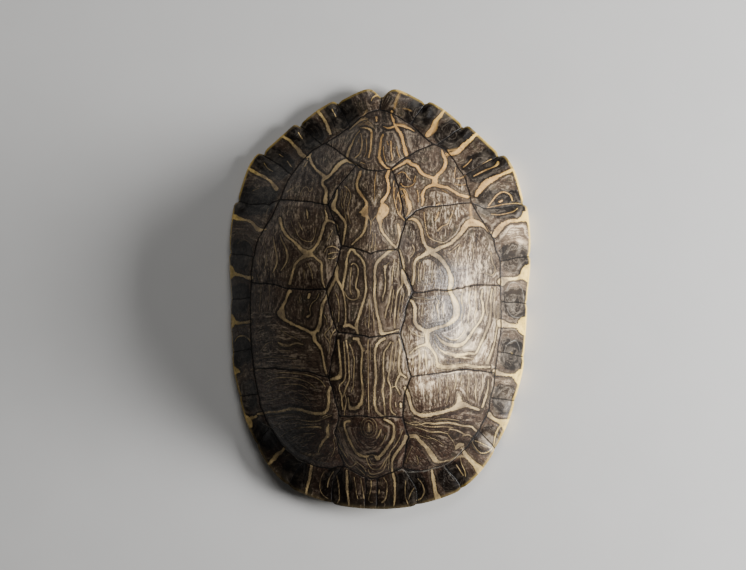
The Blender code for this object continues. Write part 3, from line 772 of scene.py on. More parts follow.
PALE_LINES_RIGHT = (
    ((43, -46.5, 3), (48, -47.3, 2.6), (54, -46.3, 2.2), (60, -45.3, 1.8), (66, -46.3),
     (75, -46, 1.6)),
    ((41.5, -27, 1), (44.5, -30.8, 1.6), (49, -33, 2.2), (54.5, -33.3, 2.4), (59, -31.3, 1.8),
     (62, -27.5), (65, -22.5, 1.4), (68.5, -17.5), (70.6, -12.5, 1.6), (70.4, -7), (69.4, -2),
     (70, 3, 1.2)),
    ((46.5, -27.5, 1), (50, -29.5, 1.2), (54, -29.5), (57.5, -26.5), (59.5, -22.5, 1)),
    ((40.5, -31, 1), (43.5, -36, 1.4), (49, -38.8, 2), (56, -39.3), (61.5, -38, 1.6),
     (66, -37.7, 1.4), (69, -32), (72, -25), (74.5, -18, 1.6), (75.5, -10, 1.2), (75.3, -2),
     (76, 4)),
    ((73.5, -43.5, 2), (75.5, -38.5, 1.6), (77.5, -32, 1.2), (79, -24), (80, -15, .9), (80, -6)),
    ((58, 2.5, 1), (57, -4, 1.2), (58, -10, 1.4), (57, -16, 1), (57.5, -21)),
    ((62.5, 3.5, 1), (61.5, -3, 1.2), (62.3, -9), (61.2, -15), (62, -20, 1)),
    ((66, 4, 1), (65.5, -2, 1.3), (66.6, -8), (65.3, -14, 1.1), (66, -19)),
    ((73, 5, 1), (73.5, -1, 1.2), (72.4, -7), (73.3, -13, 1)),
    ((78, 6, 1), (78, 0, 1.1), (77.4, -7), (78, -14)),
    ((43, -5.5, 1.1), (42, -10, 1.5), (43, -14.5, 1.2), (42.5, -19, 1)),
    ((46.5, -6, 1), (45.6, -11, 1.3), (46.2, -16, 1)),
    ((39.5, -8, .9), (39, -14)),
    ((33, -9, .8), (32.5, -16)),
    ((27, -4.2, .9), (32, -5), (37.5, -5.2)),
    ((40.5, -2.5, 1), (43.5, -7.5)),
    ((31, -37, 1.2), (31.6, -42, 1.5), (31, -49, 1)),
    ((35, -37, 1), (35.3, -42.5, 1.5), (36, -49, 1)),
    ((27, -40.5, 1.1), (27.6, -48)),
    ((39, -41, 1), (39.3, -48)),
    ((47, -41.5, .9), (47.5, -45)),
    ((53.5, -40.5, 1.4), (60, -40.8), (65, -41.5, 1)),
    ((43, -53.5, 1), (43.6, -58), (42.8, -63)),
    ((49, -52, .9), (48.4, -58, 1.1), (49.2, -64), (48, -70, .9)),
    ((53.5, -51, 1), (54, -56, 1.2), (53, -61, 1)),
    ((57.5, -50.5, 1), (57, -55, 1.2), (58, -60, 1)),
    ((61.5, -50, 1), (62, -56, 1.4), (61, -62, 1.1), (61.8, -68, .9)),
    ((66, -50.5, 1), (66.6, -57, 1.3), (66, -63), (67, -69, 1)),
    ((74.5, -54, 1), (74, -60, 1.4), (72.5, -66, 1.8), (70.5, -72, 1.4)),
    ((70.5, -51, 1), (70.8, -57, 1.2), (70, -63, 1)),
    ((21, -82, .9), (26.5, -84, 1), (31, -84, 1.1), (35.5, -82.8, 1.4), (41, -83.2, 1.8),
     (47.5, -82.4, 1.6), (53, -83), (58, -84.2, 1.4), (63.5, -84.8, 1.6), (66.5, -87.5, 1.5)),
    ((28, -85.5, .9), (33, -87, 1.2), (38, -88.6, 1.4), (43.5, -88.4, 1.2), (48.5, -89.6, 1)),
    ((23.5, -83.5, .9), (29, -82.3), (34, -84.8), (40, -85.3, 1.1), (46, -85), (52, -85.6, .9)),
    ((58, -91, 1), (61.5, -90, 1.3), (64, -91.5, 1)),
    ((31, -91, .8), (37, -93), (41, -92.2)),
    ((50, -86.5, 1.2), (55, -87.5), (60, -90.5, 1.3)),
    ((41, -80.5, .8), (48, -80), (56, -81)),
    ((35, -91, .8), (42, -94), (46, -97)),
    ((49, -90.5, .9), (52, -94.5), (53.5, -98.5)),
    ((66, -94, .9), (69, -95), (73, -97), (77, -99)),
    ((64, -94, .9), (66, -98), (70, -102, 1), (75, -101), (78, -97, 1.2), (79, -91, 1.4),
     (81, -86), (84, -82)),
)
LINES_RIGHT_NECK = (
    ((25, -91.5, 2.6), (28.5, -91.5), (31, -94.5, 2.2), (34.5, -98, 2.6), (37, -101.5, 3),
     (39.5, -105.5, 3.6), (41, -107.5, 3), (44.5, -108, 1.4), (48.5, -107, 1.2)),
    ((54, -99, 2), (55.5, -97, 2.6), (58, -96.5, 2)),
    ((58.5, -100.5, 2.4), (60.5, -104, 3), (64, -107.5, 3), (67, -110.5, 4), (69.5, -113.5, 6)),
    ((38, -113.5, 1.8), (38.7, -118, 2.6), (39.6, -124, 2.4), (40.6, -129, 2.8), (42, -132, 4),
     (43, -134.5, 6)),
    ((56.5, -105, .9), (57.5, -109.5), (59.5, -114), (60, -118)),
    ((54, -110, 1), (56, -113), (58.5, -117)),
)
LINES_LEFT_REAR = (
    ((-10.5, 81, 1), (-13, 83.5), (-17, 85.5, 1.8), (-20, 87, 2.4), (-23.5, 85.5, 2.2),
     (-26.5, 82, 2.4), (-28, 79), (-30, 76, 2.2), (-33, 74)),
    ((-43.5, 125.5, 2.4), (-40, 121.5, 2), (-37, 117), (-35, 112.5, 2.6), (-33, 108, 2.2)),
    ((-68, 108.5, 2), (-65, 107, 2.2), (-61, 104.5, 2), (-58, 101), (-55, 98, 2.6), (-53, 95, 3),
     (-50, 92.5, 2.4), (-47, 91.5, 2), (-45, 94, 1.2)),
    ((-46, 93, 1.8), (-44.5, 88, 2), (-42, 84, 1.8), (-39.5, 81), (-36, 78, 2),
     (-33.5, 75.5, 2.6)),
    ((-32, 75.5, 2), (-29.5, 77), (-26.5, 80.5, 2.4), (-24, 84), (-20.5, 86.5)),
    ((-33.5, 75, 2.6), (-34.5, 70.5, 1.8), (-32, 67), (-31, 63.5, 2.2), (-31.5, 59, 3),
     (-31, 56, 2.4)),
    ((-48.5, 84.5, 1.4), (-47, 88, 1.2)),
    ((-89, 86, 2), (-86, 84, 2.6), (-82, 81.5, 2.2), (-77, 79, 2), (-72, 75.5), (-69, 72, 2.6),
     (-66.5, 69, 2.8)),
    ((-55.5, 110, 1.2), (-52.5, 105.5)),
    ((-61.5, 89.5, 1), (-58, 85)),
    ((-68, 95, .9), (-65, 93)),
    ((-78, 89, .9), (-75, 85), (-71, 82.5)),
    ((-88, 90, 1.4), (-82, 97), (-75, 107)),
    ((-49, 63, .9), (-48, 67), (-46, 69, 1), (-44, 68), (-43, 65.5), (-41.5, 66), (-41, 68)),
    ((-62, 48, 2.2), (-61, 45), (-59, 40), (-56, 36, 2), (-52, 32.5, 1.8), (-48, 29, 2.2),
     (-45, 26, 2.6), (-42, 24, 3.6), (-39, 23, 4)),
    ((-39, 24, 3), (-36, 27, 2.2), (-33.5, 31, 2), (-32, 36, 2.2), (-31, 41), (-29.5, 44, 2),
     (-28, 44.5, 1.6), (-25, 43.5, 1.4), (-22, 41, 1.2), (-21.5, 37, 1)),
    ((-29.5, 44.5, 2), (-29.5, 48, 1.6), (-31, 52, 1)),
    ((-25, 38, .9), (-26.5, 35), (-28, 31)),
    ((-43.5, 53, 1), (-42.5, 49, 1.6), (-42, 46, 1)),
    ((-48, 44, 1.2), (-46.5, 41, 1.4), (-45, 38.5, 1)),
    ((-50, 40, 1), (-48, 35.5), (-45, 32.5), (-41, 31), (-38, 31.5), (-36.5, 35), (-36, 40)),
    ((-54, 46, .8), (-52, 41)),
    ((-98, 53, 4), (-95, 51.5, 3), (-90, 50, 2), (-85, 48.5), (-81, 45, 2.2), (-78, 42, 3),
     (-75, 41.5, 2), (-72, 41.5, 1.4)),
)
LINES_LEFT_SIDE = (
    ((-61, 37, 1), (-59.5, 33, 1.3), (-57, 29), (-55.3, 25, 1.7), (-54.7, 21), (-56, 17, 1.4),
     (-59, 13, 1)),
    ((-66, 36, .9), (-64.5, 30, 1.3), (-63, 25), (-62, 20, 1.5), (-63, 15.5), (-65, 12, 1)),
    ((-40, 22.5, 4), (-43, 21.5, 2.4), (-46, 19.5, 1.8), (-49, 16.5), (-50.5, 12), (-51.5, 8),
     (-52.5, 4.5, 2)),
    ((-40, 22.5, 3), (-37, 21.5, 2), (-34, 19, 1.6), (-31.5, 17, 1.8), (-31, 12, 1.6),
     (-30.5, 6, 1.4), (-29, 1.5, 1.2)),
    ((-43, 13, .9), (-42.5, 7)),
    ((-40.5, 17, .9), (-38, 12, 1), (-37, 7)),
    ((-52.5, -.5, 3), (-54, -3, 2), (-55, -6, 1.8), (-57, -9.5, 2.6), (-58.5, -12, 3),
     (-60, -14.5, 2.4), (-57, -17.5, 2.6), (-53, -20, 2), (-48, -22.5), (-43, -24.5),
     (-38.5, -26.5, 2.2), (-36, -27.5, 3), (-34, -26, 2), (-32.5, -23, 1.8), (-31.5, -18)),
    ((-57.5, -9, 2), (-57, -17, 3)),
    ((-35.5, -28, 2.6), (-35, -31.5), (-33.5, -34, 2), (-31.5, -36.5, 1.8)),
    ((-39, -3, 2.2), (-39.5, -5, 2)),
    ((-32.5, -2.5, .9), (-34, -6), (-37, -8.5, 1), (-38.5, -12), (-38, -15.5), (-40, -17, 2)),
    ((-45, -3, .8), (-46, -8)),
    ((-101.5, 15.5, 11), (-99, 14.8, 7), (-97, 14.2, 4.2), (-94, 13.4, 2.4), (-89, 12, 2),
     (-85, 10.5, 2.4), (-81.5, 10, 3)),
    ((-100.5, -17.5, 12), (-98, -17.8, 7), (-95.5, -18.3, 4), (-91, -19, 2.4), (-86, -19, 2),
     (-82, -18.5, 2.4)),
    ((-95, -31, 1), (-93, -28.5), (-89, -27.5, 1.4), (-85, -28.5, 1.2), (-82.5, -31)),
    ((-60.5, -33, 1.2), (-57, -34.5, 1.7), (-53, -35, 1.5), (-48, -33.5, 1.3), (-43, -34.5)),
    ((-58, -25.5, .8), (-53, -28.5), (-48, -30.5, 1), (-45, -32)),
    ((-60, -38, .8), (-52, -38.5)),
    ((-64, -52.5, .9), (-57, -52, 1), (-50, -52.4, 1.2), (-43, -53.2), (-36, -54.8, 1),
     (-31, -57.5), (-28.5, -61)),
    ((-72, -59, .9), (-67, -56.5), (-60, -55.2, 1.1), (-52, -55.4), (-45, -56.6, 1), (-39, -58.8),
     (-35, -62, .9)),
    ((-68, -61.5, .8), (-62, -58.5), (-56, -57.8)),
    ((-72, -66, .8), (-64, -64), (-55, -63.2), (-48, -64)),
    ((-70, -70.5, .8), (-61, -68.8), (-52, -68.5), (-44, -70.5)),
    ((-74, -38, .8), (-70, -34, .9), (-66, -32.5)),
    ((-76, -43, .8), (-68, -42), (-58, -42.5), (-48, -43.5)),
    ((-73, 33, .8), (-70.5, 27, .9), (-70, 21), (-71.5, 15)),
    ((-77, 12, .8), (-74, 4), (-74, -4), (-75, -12)),
    ((-68, 6, .8), (-67, -2), (-68.5, -10)),
    ((-60, -60, .9), (-52, -59.5, 1), (-45, -60), (-41, -62)),
    ((-47, -65, .9), (-43, -66.5), (-40, -70)),
    ((-78, -79, 1.6), (-74, -78.5, 1.8), (-69, -77.5), (-64, -77.5), (-59, -76.5, 2), (-54, -75.5),
     (-50, -75.3), (-45, -76), (-40, -77.5, 2.2), (-35, -78.2), (-30, -77.5), (-27.5, -75, 2),
     (-26.5, -70), (-26.5, -65), (-25, -61, 1.8)),
    ((-97, -50.5, 7), (-94, -50.7, 4), (-91.5, -51, 1.8)),
    ((-89, -81, 5), (-86.5, -82, 4.4), (-84, -84.5, 4), (-83, -87, 3)),
    ((-85, -82.5, 3), (-82, -81.5, 2), (-79, -80.5)),
)
LINES_LEFT_NECK = (
    ((-50, -81.5, 1.1), (-42, -83, 1.2), (-36, -83, 1.3), (-31, -81.5, 1), (-25, -79)),
    ((-62, -94, .9), (-56, -90), (-49, -87.5, 1.1), (-43, -87, 1.4), (-36, -86.5, 1.5),
     (-33, -87)),
    ((-67, -88, .9), (-61, -84.5), (-53, -82.2, 1), (-46, -82)),
    ((-57, -97, .8), (-51, -93), (-44, -91, .9), (-37, -91)),
    ((-52, -100, .8), (-46, -96.5), (-40, -95.5)),
    ((-27, -106, .8), (-24.5, -100), (-25, -94)),
    ((-70, -80.5, .9), (-60, -79.5), (-50, -78.5)),
    ((-55, -85, 1), (-50, -84.5), (-44, -85), (-38, -85)),
    ((-27.5, -85, 1.4), (-28.5, -89, 2.2), (-28.5, -92, 2), (-32, -96, 1.8), (-34.5, -100, 1.6),
     (-35.5, -103, 1.2)),
    ((-71, -112, 2), (-68, -109.5, 3), (-64.5, -105.5), (-61, -103, 2.4), (-59, -100.5, 2)),
    ((-41, -112, 2.4), (-42, -117, 2), (-43, -122), (-44.5, -127), (-45.5, -132)),
    ((-32.5, -115.8, .9), (-35, -120.5), (-36, -127), (-34, -131.5), (-30.5, -134)),
    ((-26.3, -115.8, .9), (-28.5, -119), (-30, -122, 1.1), (-30.8, -126, 1.3)),
)
# Dull tan and reddish-brown smears, and the chalky line in front of the costals
DULL_LINES = (
    ((-66, -47, 1.4), (-56, -48, 1.8), (-45, -49.3), (-41, -49.3, 1.2)),
    ((-82, -50, 2.4), (-78, -49.5), (-72, -49.5, 1.4)),
    ((9, 126, 2.6), (9.6, 129.5, 3.8), (10.8, 134, 3.2), (12.5, 139, 3.4)),
    ((-14, 117, 2), (-11.5, 120.5, 3), (-9.5, 124.5, 3)),
    ((10.5, 114, 3), (16, 114), (21, 111.5, 1.6)),
    ((-12, 118, 1), (-8, 116.3, 1.5), (-4.5, 113, 1.5), (-3, 110.3, 1)),
    ((-14, 112.8, 1), (-9.5, 114.4, 1.3), (-6, 112.2, 1)),
    ((14.5, 126.6, 1.4), (18, 126, 2), (21, 124.6, 1.2)),
    ((10.8, 121.9, 1.4), (14, 121, 1.2)),
    ((-20, 110.5, 1.4), (-16, 114.5, 2.4), (-11.5, 117.5, 2.4), (-8, 118, 1.6)),
    ((33, 108, 3), (36, 112, 4), (38, 118, 2)),
    ((46, 97, 3), (51, 98, 4)),
    ((60, -104, 2), (55, -104.5, 3), (49, -107.5, 2)),
    ((62.5, 48, 4), (62, 51.5, 3), (61.5, 56, 2.6), (61.5, 60, 2.4)),
    ((88.4, -35.4, 1.6), (89.4, -36.6, 2)),
    ((-84.5, 70, 1.4), (-80, 71)),
    ((-58.5, 66.5, 2.4), (-56, 68, 2), (-54, 69.5, 1.4), (-50, 70)),
    ((-71, 57, 1), (-72.5, 52, 1.6), (-72.5, 47, 1.4)),
    ((-94, 34, 1), (-90, 36.5), (-86, 35), (-82.5, 32), (-81, 28)),
    ((-46, -104, 3), (-40, -105), (-35, -104, 2)),
)
CHALKY_LINES = (
    ((16, -114.5, .7), (19, -113.5, 1.3), (21.5, -115, .7), (26, -115, 1.1), (31, -114.7, .8),
     (35, -114, 1.1), (39, -112.5, .8), (44, -111.2, 1.2), (50, -108, .7), (55, -103.5, 1),
     (59.5, -98, .8)),
    ((46, -111.5, .7), (49, -115.5), (52.5, -120)),
    ((85.7, 5, .5), (87.5, 8.6, .8), (90.2, 10), (94, 8.4), (96, 5, .6), (97, -1.3, .5)),
    ((85.7, -6.4, .5), (87.4, -10.4, .8), (90.2, -12.7, 1), (94, -12.6), (96, -11, .5)),
    ((84.5, -36, .5), (85.4, -32.4, .7), (86.8, -30.4), (91.4, -27.8, .9), (93.8, -31),
     (94.8, -35, .6)),
    ((20.5, -115, .6), (23.5, -118.5)),
    ((26, -3, .5), (29, -4.6, .8), (33, -3.4), (37, -4.8, .8), (41, -3.6, .5)),
    ((28, -7, .5), (32, -8.2, .8), (36, -7.4, .5)),
    ((-59, -101, .8), (-54, -105), (-49, -109), (-44, -110.5)),
    ((-75, -85, .8), (-68, -88), (-63, -93), (-59, -98)),
)
# Rings round the boss at the neck end of the keel: half width, half length
BOSS_CENTRE = (-1.2, -86.5)
BOSS_RINGS = ((1.2, 2.7), (3.3, 4.7), (5.3, 6.5))

LINES = (LINES_FIFTH_VERTEBRAL + LINES_FOURTH_VERTEBRAL + LINES_THIRD_VERTEBRAL
         + LINES_SECOND_VERTEBRAL + LINES_FIRST_VERTEBRAL + LINES_RIGHT_REAR
         + LINES_RIGHT_THIRD_COSTAL + LINES_RIGHT_SECOND_COSTAL + LINES_RIGHT_NECK
         + LINES_LEFT_REAR + LINES_LEFT_SIDE + LINES_LEFT_NECK + PALE_LINES_RIGHT)


# ---------------------------------------------------------------- the plain form
def smooth_step(low, high, value):
    share = np.clip((value - low) / (high - low), 0, 1)
    return share * share * (3 - 2 * share)


def plain_rim(angle):
    """Distance to the rim at each angle from the tail, as a smooth closed curve."""
    other_half = [(-out, along) for out, along in RIM[-2:0:-1]]
    points = np.array(list(RIM) + other_half, float)
    angles = np.unwrap(np.arctan2(points[:, 0], points[:, 1]))
    turn = 2 * math.pi
    knots = np.concatenate([angles - turn, angles, angles + turn])
    values = np.tile(np.hypot(points[:, 0], points[:, 1]), 3)
    place = np.mod(angle, turn)
    i = np.searchsorted(knots, place, side="right") - 1
    step = knots[i + 1] - knots[i]
    slope_a = (values[i + 1] - values[i - 1]) / (knots[i + 1] - knots[i - 1])
    slope_b = (values[i + 2] - values[i]) / (knots[i + 2] - knots[i])
    s = (place - knots[i]) / step
    return ((2 * s**3 - 3 * s**2 + 1) * values[i]
            + (s**3 - 2 * s**2 + s) * step * slope_a
            + (3 * s**2 - 2 * s**3) * values[i + 1]
            + (s**3 - s**2) * step * slope_b)


def rim_teeth(angle, radius):
    """How far the notches and teeth move the rim in or out."""
    signed = (angle + math.pi) % (2 * math.pi) - math.pi
    from_tail = np.abs(signed) * radius
    shift = TAIL_LOBE_RISE * np.exp(-((from_tail - TAIL_LOBE_PLACE) / TAIL_LOBE_WIDTH) ** 2)
    shift = shift - TAIL_NOTCH_DEPTH * np.exp(-(from_tail / TAIL_NOTCH_WIDTH) ** 2)
    for (out, along), tooth in NOTCHES:
        past = (np.abs(signed) - math.atan2(out, along)) * radius
        rise = 1 - np.exp(-np.clip(past, 0, None) / TOOTH_EDGE)
        fall = np.exp(-np.clip(past, 0, None) / TOOTH_LENGTH)
        shift = shift + tooth * rise * fall - tooth / 2 * np.exp(-(past / NOTCH_WIDTH) ** 2)
    return shift


def by_direction(angle, values):
    """Mixes the values for tail, neck and sides round the shell."""
    tail = np.clip(np.cos(angle), 0, 1) ** 2
    neck = np.clip(-np.cos(angle), 0, 1) ** 2
    return values[0] * tail + values[1] * neck + values[2] * (1 - tail - neck)


def dome(x, y):
    """Height of the smooth outer surface, without seams."""
    angle = np.arctan2(x, y)
    share = np.clip(np.hypot(x, y) / plain_rim(angle), 0, OUTERMOST_SHARE)
    edge = by_direction(angle, RIM_HEIGHT)
    roundness = by_direction(angle, DOME_ROUNDNESS)
    flare = by_direction(angle, DOME_FLARE)
    keel = KEEL_RISE * np.exp(-(x / KEEL_WIDTH) ** 2) * (1 - share**2)
    return edge + (DOME_HEIGHT - KEEL_RISE - edge) * (1 - share**roundness) ** flare + keel


def dome_normal(x, y):
    slope_x = (dome(x + SLOPE_STEP, y) - dome(x - SLOPE_STEP, y)) / (2 * SLOPE_STEP)
    slope_y = (dome(x, y + SLOPE_STEP) - dome(x, y - SLOPE_STEP)) / (2 * SLOPE_STEP)
    normal = np.stack([-slope_x, -slope_y, np.ones_like(x)], axis=-1)
    return normal / np.linalg.norm(normal, axis=-1, keepdims=True)


def unevenness(x, y, width, length, layer):
    """Smooth noise between -1 and 1, its lumps as wide and long as given."""
    noise = mathutils.noise.noise
    places = zip(np.ravel(x / width), np.ravel(y / length))
    values = [noise(mathutils.Vector((across, along, layer))) for across, along in places]
    return np.array(values).reshape(np.shape(x))


# ---------------------------------------------------------------- lines on the shell
def smooth_stroke(points):
    """A brush stroke's points with a smooth curve through them: x, y, half width."""
    width = None
    full = []
    for point in points:
        width = point[2] if len(point) > 2 else width
        full.append((point[0], point[1], width / 2 - LINE_BLUR * max(0.0, 1 - width / 3)))
    knots = np.array([full[0]] + full + [full[-1]], float)
    spans = []
    for a, b, c, d in zip(knots[:-3], knots[1:-2], knots[2:-1], knots[3:]):
        for t in np.arange(STROKE_STEPS) / STROKE_STEPS:
            spans.append(0.5 * (2 * b + (c - a) * t + (2 * a - 5 * b + 4 * c - d) * t**2
                                + (3 * b - a - 3 * c + d) * t**3))
    spans.append(knots[-2])
    return np.array(spans)


def wavy_stroke(points, width):
    """A seam as a stroke of one width: its corners kept, its sides a little wavy."""
    knots = np.array(points, float)
    full = [(*knots[0], width / 2)]
    for start, end in zip(knots[:-1], knots[1:]):
        length = np.hypot(*(end - start))
        sideways = np.array([start[1] - end[1], end[0] - start[0]]) / length
        steps = max(1, round(length / SEAM_STEP))
        for step in range(1, steps + 1):
            place = start + (end - start) * step / steps
            if step < steps:
                sway = unevenness(*place, SEAM_SWAY_LENGTH, SEAM_SWAY_LENGTH, SWAY_NOISE)
                place = place + sideways * SEAM_SWAY * float(sway)
            full.append((*place, width / 2))
    return np.array(full)


def ring_stroke(centre, half_width, half_length, width):
    turns = np.linspace(0, 2 * math.pi, BOSS_RING_POINTS)
    return np.stack([centre[0] + half_width * np.sin(turns),
                     centre[1] + half_length * np.cos(turns),
                     np.full_like(turns, width / 2)], axis=-1)


class Nearest:
    """For every point of the mesh, the stroke whose edge is nearest."""

    FAR = 14.0
    SHORTEST = 1e-9

    def __init__(self, x, y):
        self.x = x
        self.y = y
        self.edge = np.full(x.shape, self.FAR)
        self.offset = np.full(x.shape + (2,), self.FAR)
        self.half_width = np.ones(x.shape)

    def add(self, stroke):
        low = stroke[:, :2].min(axis=0) - self.FAR
        high = stroke[:, :2].max(axis=0) + self.FAR
        near = ((self.x > low[0]) & (self.x < high[0])
                & (self.y > low[1]) & (self.y < high[1]))
        chosen = np.flatnonzero(near)
        x, y = self.x[chosen], self.y[chosen]
        for start, end in zip(stroke[:-1], stroke[1:]):
            dx, dy = end[:2] - start[:2]
            length = max(dx * dx + dy * dy, self.SHORTEST)
            along = np.clip(((x - start[0]) * dx + (y - start[1]) * dy) / length, 0, 1)
            off_x = x - start[0] - along * dx
            off_y = y - start[1] - along * dy
            half_width = start[2] + along * (end[2] - start[2])
            edge = np.hypot(off_x, off_y) - half_width
            closer = edge < self.edge[chosen]
            taken = chosen[closer]
            self.edge[taken] = edge[closer]
            self.offset[taken, 0] = off_x[closer]
            self.offset[taken, 1] = off_y[closer]
            self.half_width[taken] = half_width[closer]

    def stored(self):
        """The way to the stroke's middle in half widths, and a guard against false lines."""
        gap = np.hypot(self.offset[:, 0], self.offset[:, 1])
        guard = (gap - LINE_GUARD) / self.half_width
        return np.column_stack([self.offset / self.half_width[:, None], guard])


def draw(strokes, x, y):
    nearest = Nearest(x, y)
    for stroke in strokes:
        nearest.add(stroke)
    return nearest


def seam_strokes(width, rim_width):
    return [wavy_stroke(points, rim_width if points in MARGINAL_SEAMS else width)
            for points in SEAMS]


def toothed(points):
    """A line whose points step a little to one side and the other."""
    line = np.array(points, float)
    way = np.gradient(line, axis=0)
    way = way / np.linalg.norm(way, axis=1, keepdims=True)
    step = np.where(np.arange(len(line)) % 2, 1, -1) * JOINT_TEETH
    line = line + np.stack([way[:, 1], -way[:, 0]], axis=-1) * step[:, None]
    return np.column_stack([line, np.full(len(line), JOINT_WIDTH / 2)])


def bone_joints():
    """The toothed joints between the plates of bone, which show in the hollow."""
    joints = []
    middle = np.arange(*JOINT_ENDS, JOINT_STEP)
    out = np.arange(JOINT_MIDDLE, JOINT_REACH, JOINT_STEP)
    for side in (-1, 1):
        joints.append(toothed([(side * JOINT_MIDDLE, along) for along in middle]))
        for near, far in zip(RIBS[:-1], RIBS[1:]):
            between = (near + far) / 2
            joints.append(toothed([(side * x, between * (1 + RIB_SWEEP * x)) for x in out]))
    turns = np.linspace(0, 2 * math.pi, JOINT_RING_POINTS)
    reach = plain_rim(turns % (2 * math.pi)) * JOINT_RING
    joints.append(toothed(np.stack([reach * np.sin(turns), reach * np.cos(turns)], axis=-1)))
    return joints


def painted_strokes():
    """Every yellow line, the widest first."""
    strokes = [smooth_stroke(points) for points in LINES]
    strokes += [ring_stroke(BOSS_CENTRE, half_width, half_length, BOSS_RING_WIDTH)
                for half_width, half_length in BOSS_RINGS]
    return sorted(strokes, key=lambda stroke: -stroke[:, 2].max())


def spread_out(strokes):
    """Shares the strokes out over layers, so that none lies close to another in its layer."""
    layers = [[] for _ in range(LINE_LAYERS)]
    for stroke in strokes:
        for layer in layers:
            if all(gap_between(stroke, other) > LAYER_GAP for other in layer):
                break
        layer.append(stroke)
    return layers


def gap_between(stroke, other):
    across = stroke[:, None, 0] - other[None, :, 0]
    along = stroke[:, None, 1] - other[None, :, 1]
    return np.hypot(across, along).min()


# ---------------------------------------------------------------- the surface
def knob_share(x, y):
    """1 on top of the knobs of the rim, 0 away from them."""
    share = np.zeros(x.shape)
    for knob_x, knob_y in KNOBS:
        gap = np.hypot(np.abs(x) - knob_x, y - knob_y) / KNOB_SIZE
        share = np.maximum(share, np.exp(-gap**4))
    return share


def seen_from_above(angle, share):
    """The rim's distance, the place with the rim's teeth and the place without them."""
    rim = plain_rim(angle)
    radius = share * (rim + rim_teeth(angle, rim) * share**RIM_DETAIL_FADE)
    toothed_place = radius * np.sin(angle), radius * np.cos(angle)
    plain_place = share * rim * np.sin(angle), share * rim * np.cos(angle)
    return rim, *toothed_place, *plain_place


def raised(x, y, flat_x, flat_y, height):
    """The dome's point over x and y, moved square to the dome by a height."""
    surface = np.stack([x, y, dome(flat_x, flat_y)], axis=-1)
    return surface + dome_normal(flat_x, flat_y) * height[..., None]


def outer_point(angle, share):
    """A point of the horn's surface, share running from the top to the rim."""
    rim, x, y, flat_x, flat_y = seen_from_above(angle, share)
    gap = draw(seam_strokes(0, 0), x, y).edge
    relief = -HORN_INSET - SCUTE_CROWN * np.exp(-gap / SCUTE_CROWN_WIDTH)
    relief = relief - SEAM_DEPTH * np.exp(-(gap / SEAM_WIDTH) ** 2)
    wave = np.sin(2 * math.pi * gap / GROWTH_SPACING)
    relief = relief + GROWTH_RIDGE * wave * np.exp(-gap / GROWTH_REACH) * (gap < Nearest.FAR - 1)
    boss = ((x - BOSS_CENTRE[0]) ** 2 + (y - BOSS_CENTRE[1]) ** 2) / BOSS_SIZE**2
    relief = relief + BOSS_RISE * np.exp(-boss)
    relief = relief + KNOB_RISE * knob_share(x, y)
    near_edge = np.clip(1 - (1 - share) * rim / EDGE_ROUNDING_WIDTH, 0, 1)
    relief = relief - EDGE_ROUNDING * near_edge**EDGE_ROUNDING_POWER
    for height, width, length, layer in HORN_UNEVENNESS:
        relief = relief + height * unevenness(x, y, width, length, layer)
    return raised(x, y, flat_x, flat_y, relief)


def inner_point(angle, share):
    """A point of the hollow's surface, share running from the top to the lip."""
    _, x, y, flat_x, flat_y = seen_from_above(angle, share)
    thickness = WALL + (RIM_WALL - WALL) * smooth_step(*WALL_GROWS, share)
    edge = by_direction(angle, EDGE_WALL)
    thickness = thickness + (edge - RIM_WALL) * smooth_step(*EDGE_GROWS, share)

    inside = 1 - smooth_step(BACKBONE_END - BACKBONE_FADE, BACKBONE_END, np.abs(y))
    turn = 2 * math.pi * (y - VERTEBRA_START) / VERTEBRA_LENGTH
    beads = 1 - VERTEBRA_WAIST + VERTEBRA_WAIST * np.cos(turn)
    thickness = thickness + BACKBONE_RISE * beads * inside * np.exp(-(x / BACKBONE_WIDTH) ** 4)
    out = np.abs(x)
    reach = smooth_step(*RIB_START, out) * (1 - smooth_step(RIB_REACH - RIB_FADE, RIB_REACH, out))
    for rib in RIBS:
        line = rib * (1 + RIB_SWEEP * out)
        thickness = thickness + RIB_RISE * reach * np.exp(-((y - line) / RIB_WIDTH) ** 2)
    height, width, length, layer = BONE_UNEVENNESS
    thickness = thickness + height * unevenness(x, y, width, length, layer)

    point = raised(x, y, flat_x, flat_y, -thickness)
    bridge = by_direction(angle, (0.0, 0.0, 1.0)) * smooth_step(*BRIDGE_GROWS, share)
    point[..., 2] -= BRIDGE_DROP * bridge
    return point


def shell_point(angle, ring):
    """ring runs from the middle of the hollow (0), round the lip, to the top (1)."""
    lip_start, lip_end = LIP_RINGS
    outer = outer_point(angle, np.clip((1 - ring) / (1 - lip_end), 0, 1))
    inner = inner_point(angle, np.clip(ring / lip_start, 0, 1))
    turn = np.clip((lip_end - ring) / (lip_end - lip_start), 0, 1)[..., None] * math.pi / 2
    flat = np.array([1.0, 1.0, 0.0])
    lip = outer + (inner - outer) * (flat * (1 - np.cos(turn)) + (1 - flat) * np.sin(turn))
    return np.where((ring < lip_start)[..., None], inner, lip)


def even_shares(count):
    """Shares from top to rim that part the dome's slope into equal lengths."""
    share = np.linspace(0, 1, SLOPE_SAMPLES)
    length = np.zeros_like(share)
    for angle in (0.0, math.pi / 2, math.pi):
        distance = share * plain_rim(np.array(angle))
        height = dome(distance * math.sin(angle), distance * math.cos(angle))
        steps = np.hypot(np.diff(distance), np.diff(height))
        length = length + np.concatenate([[0], np.cumsum(steps)]) / steps.sum()
    return np.interp(np.linspace(0, 1, count + 1), length / length[-1], share)[1:]


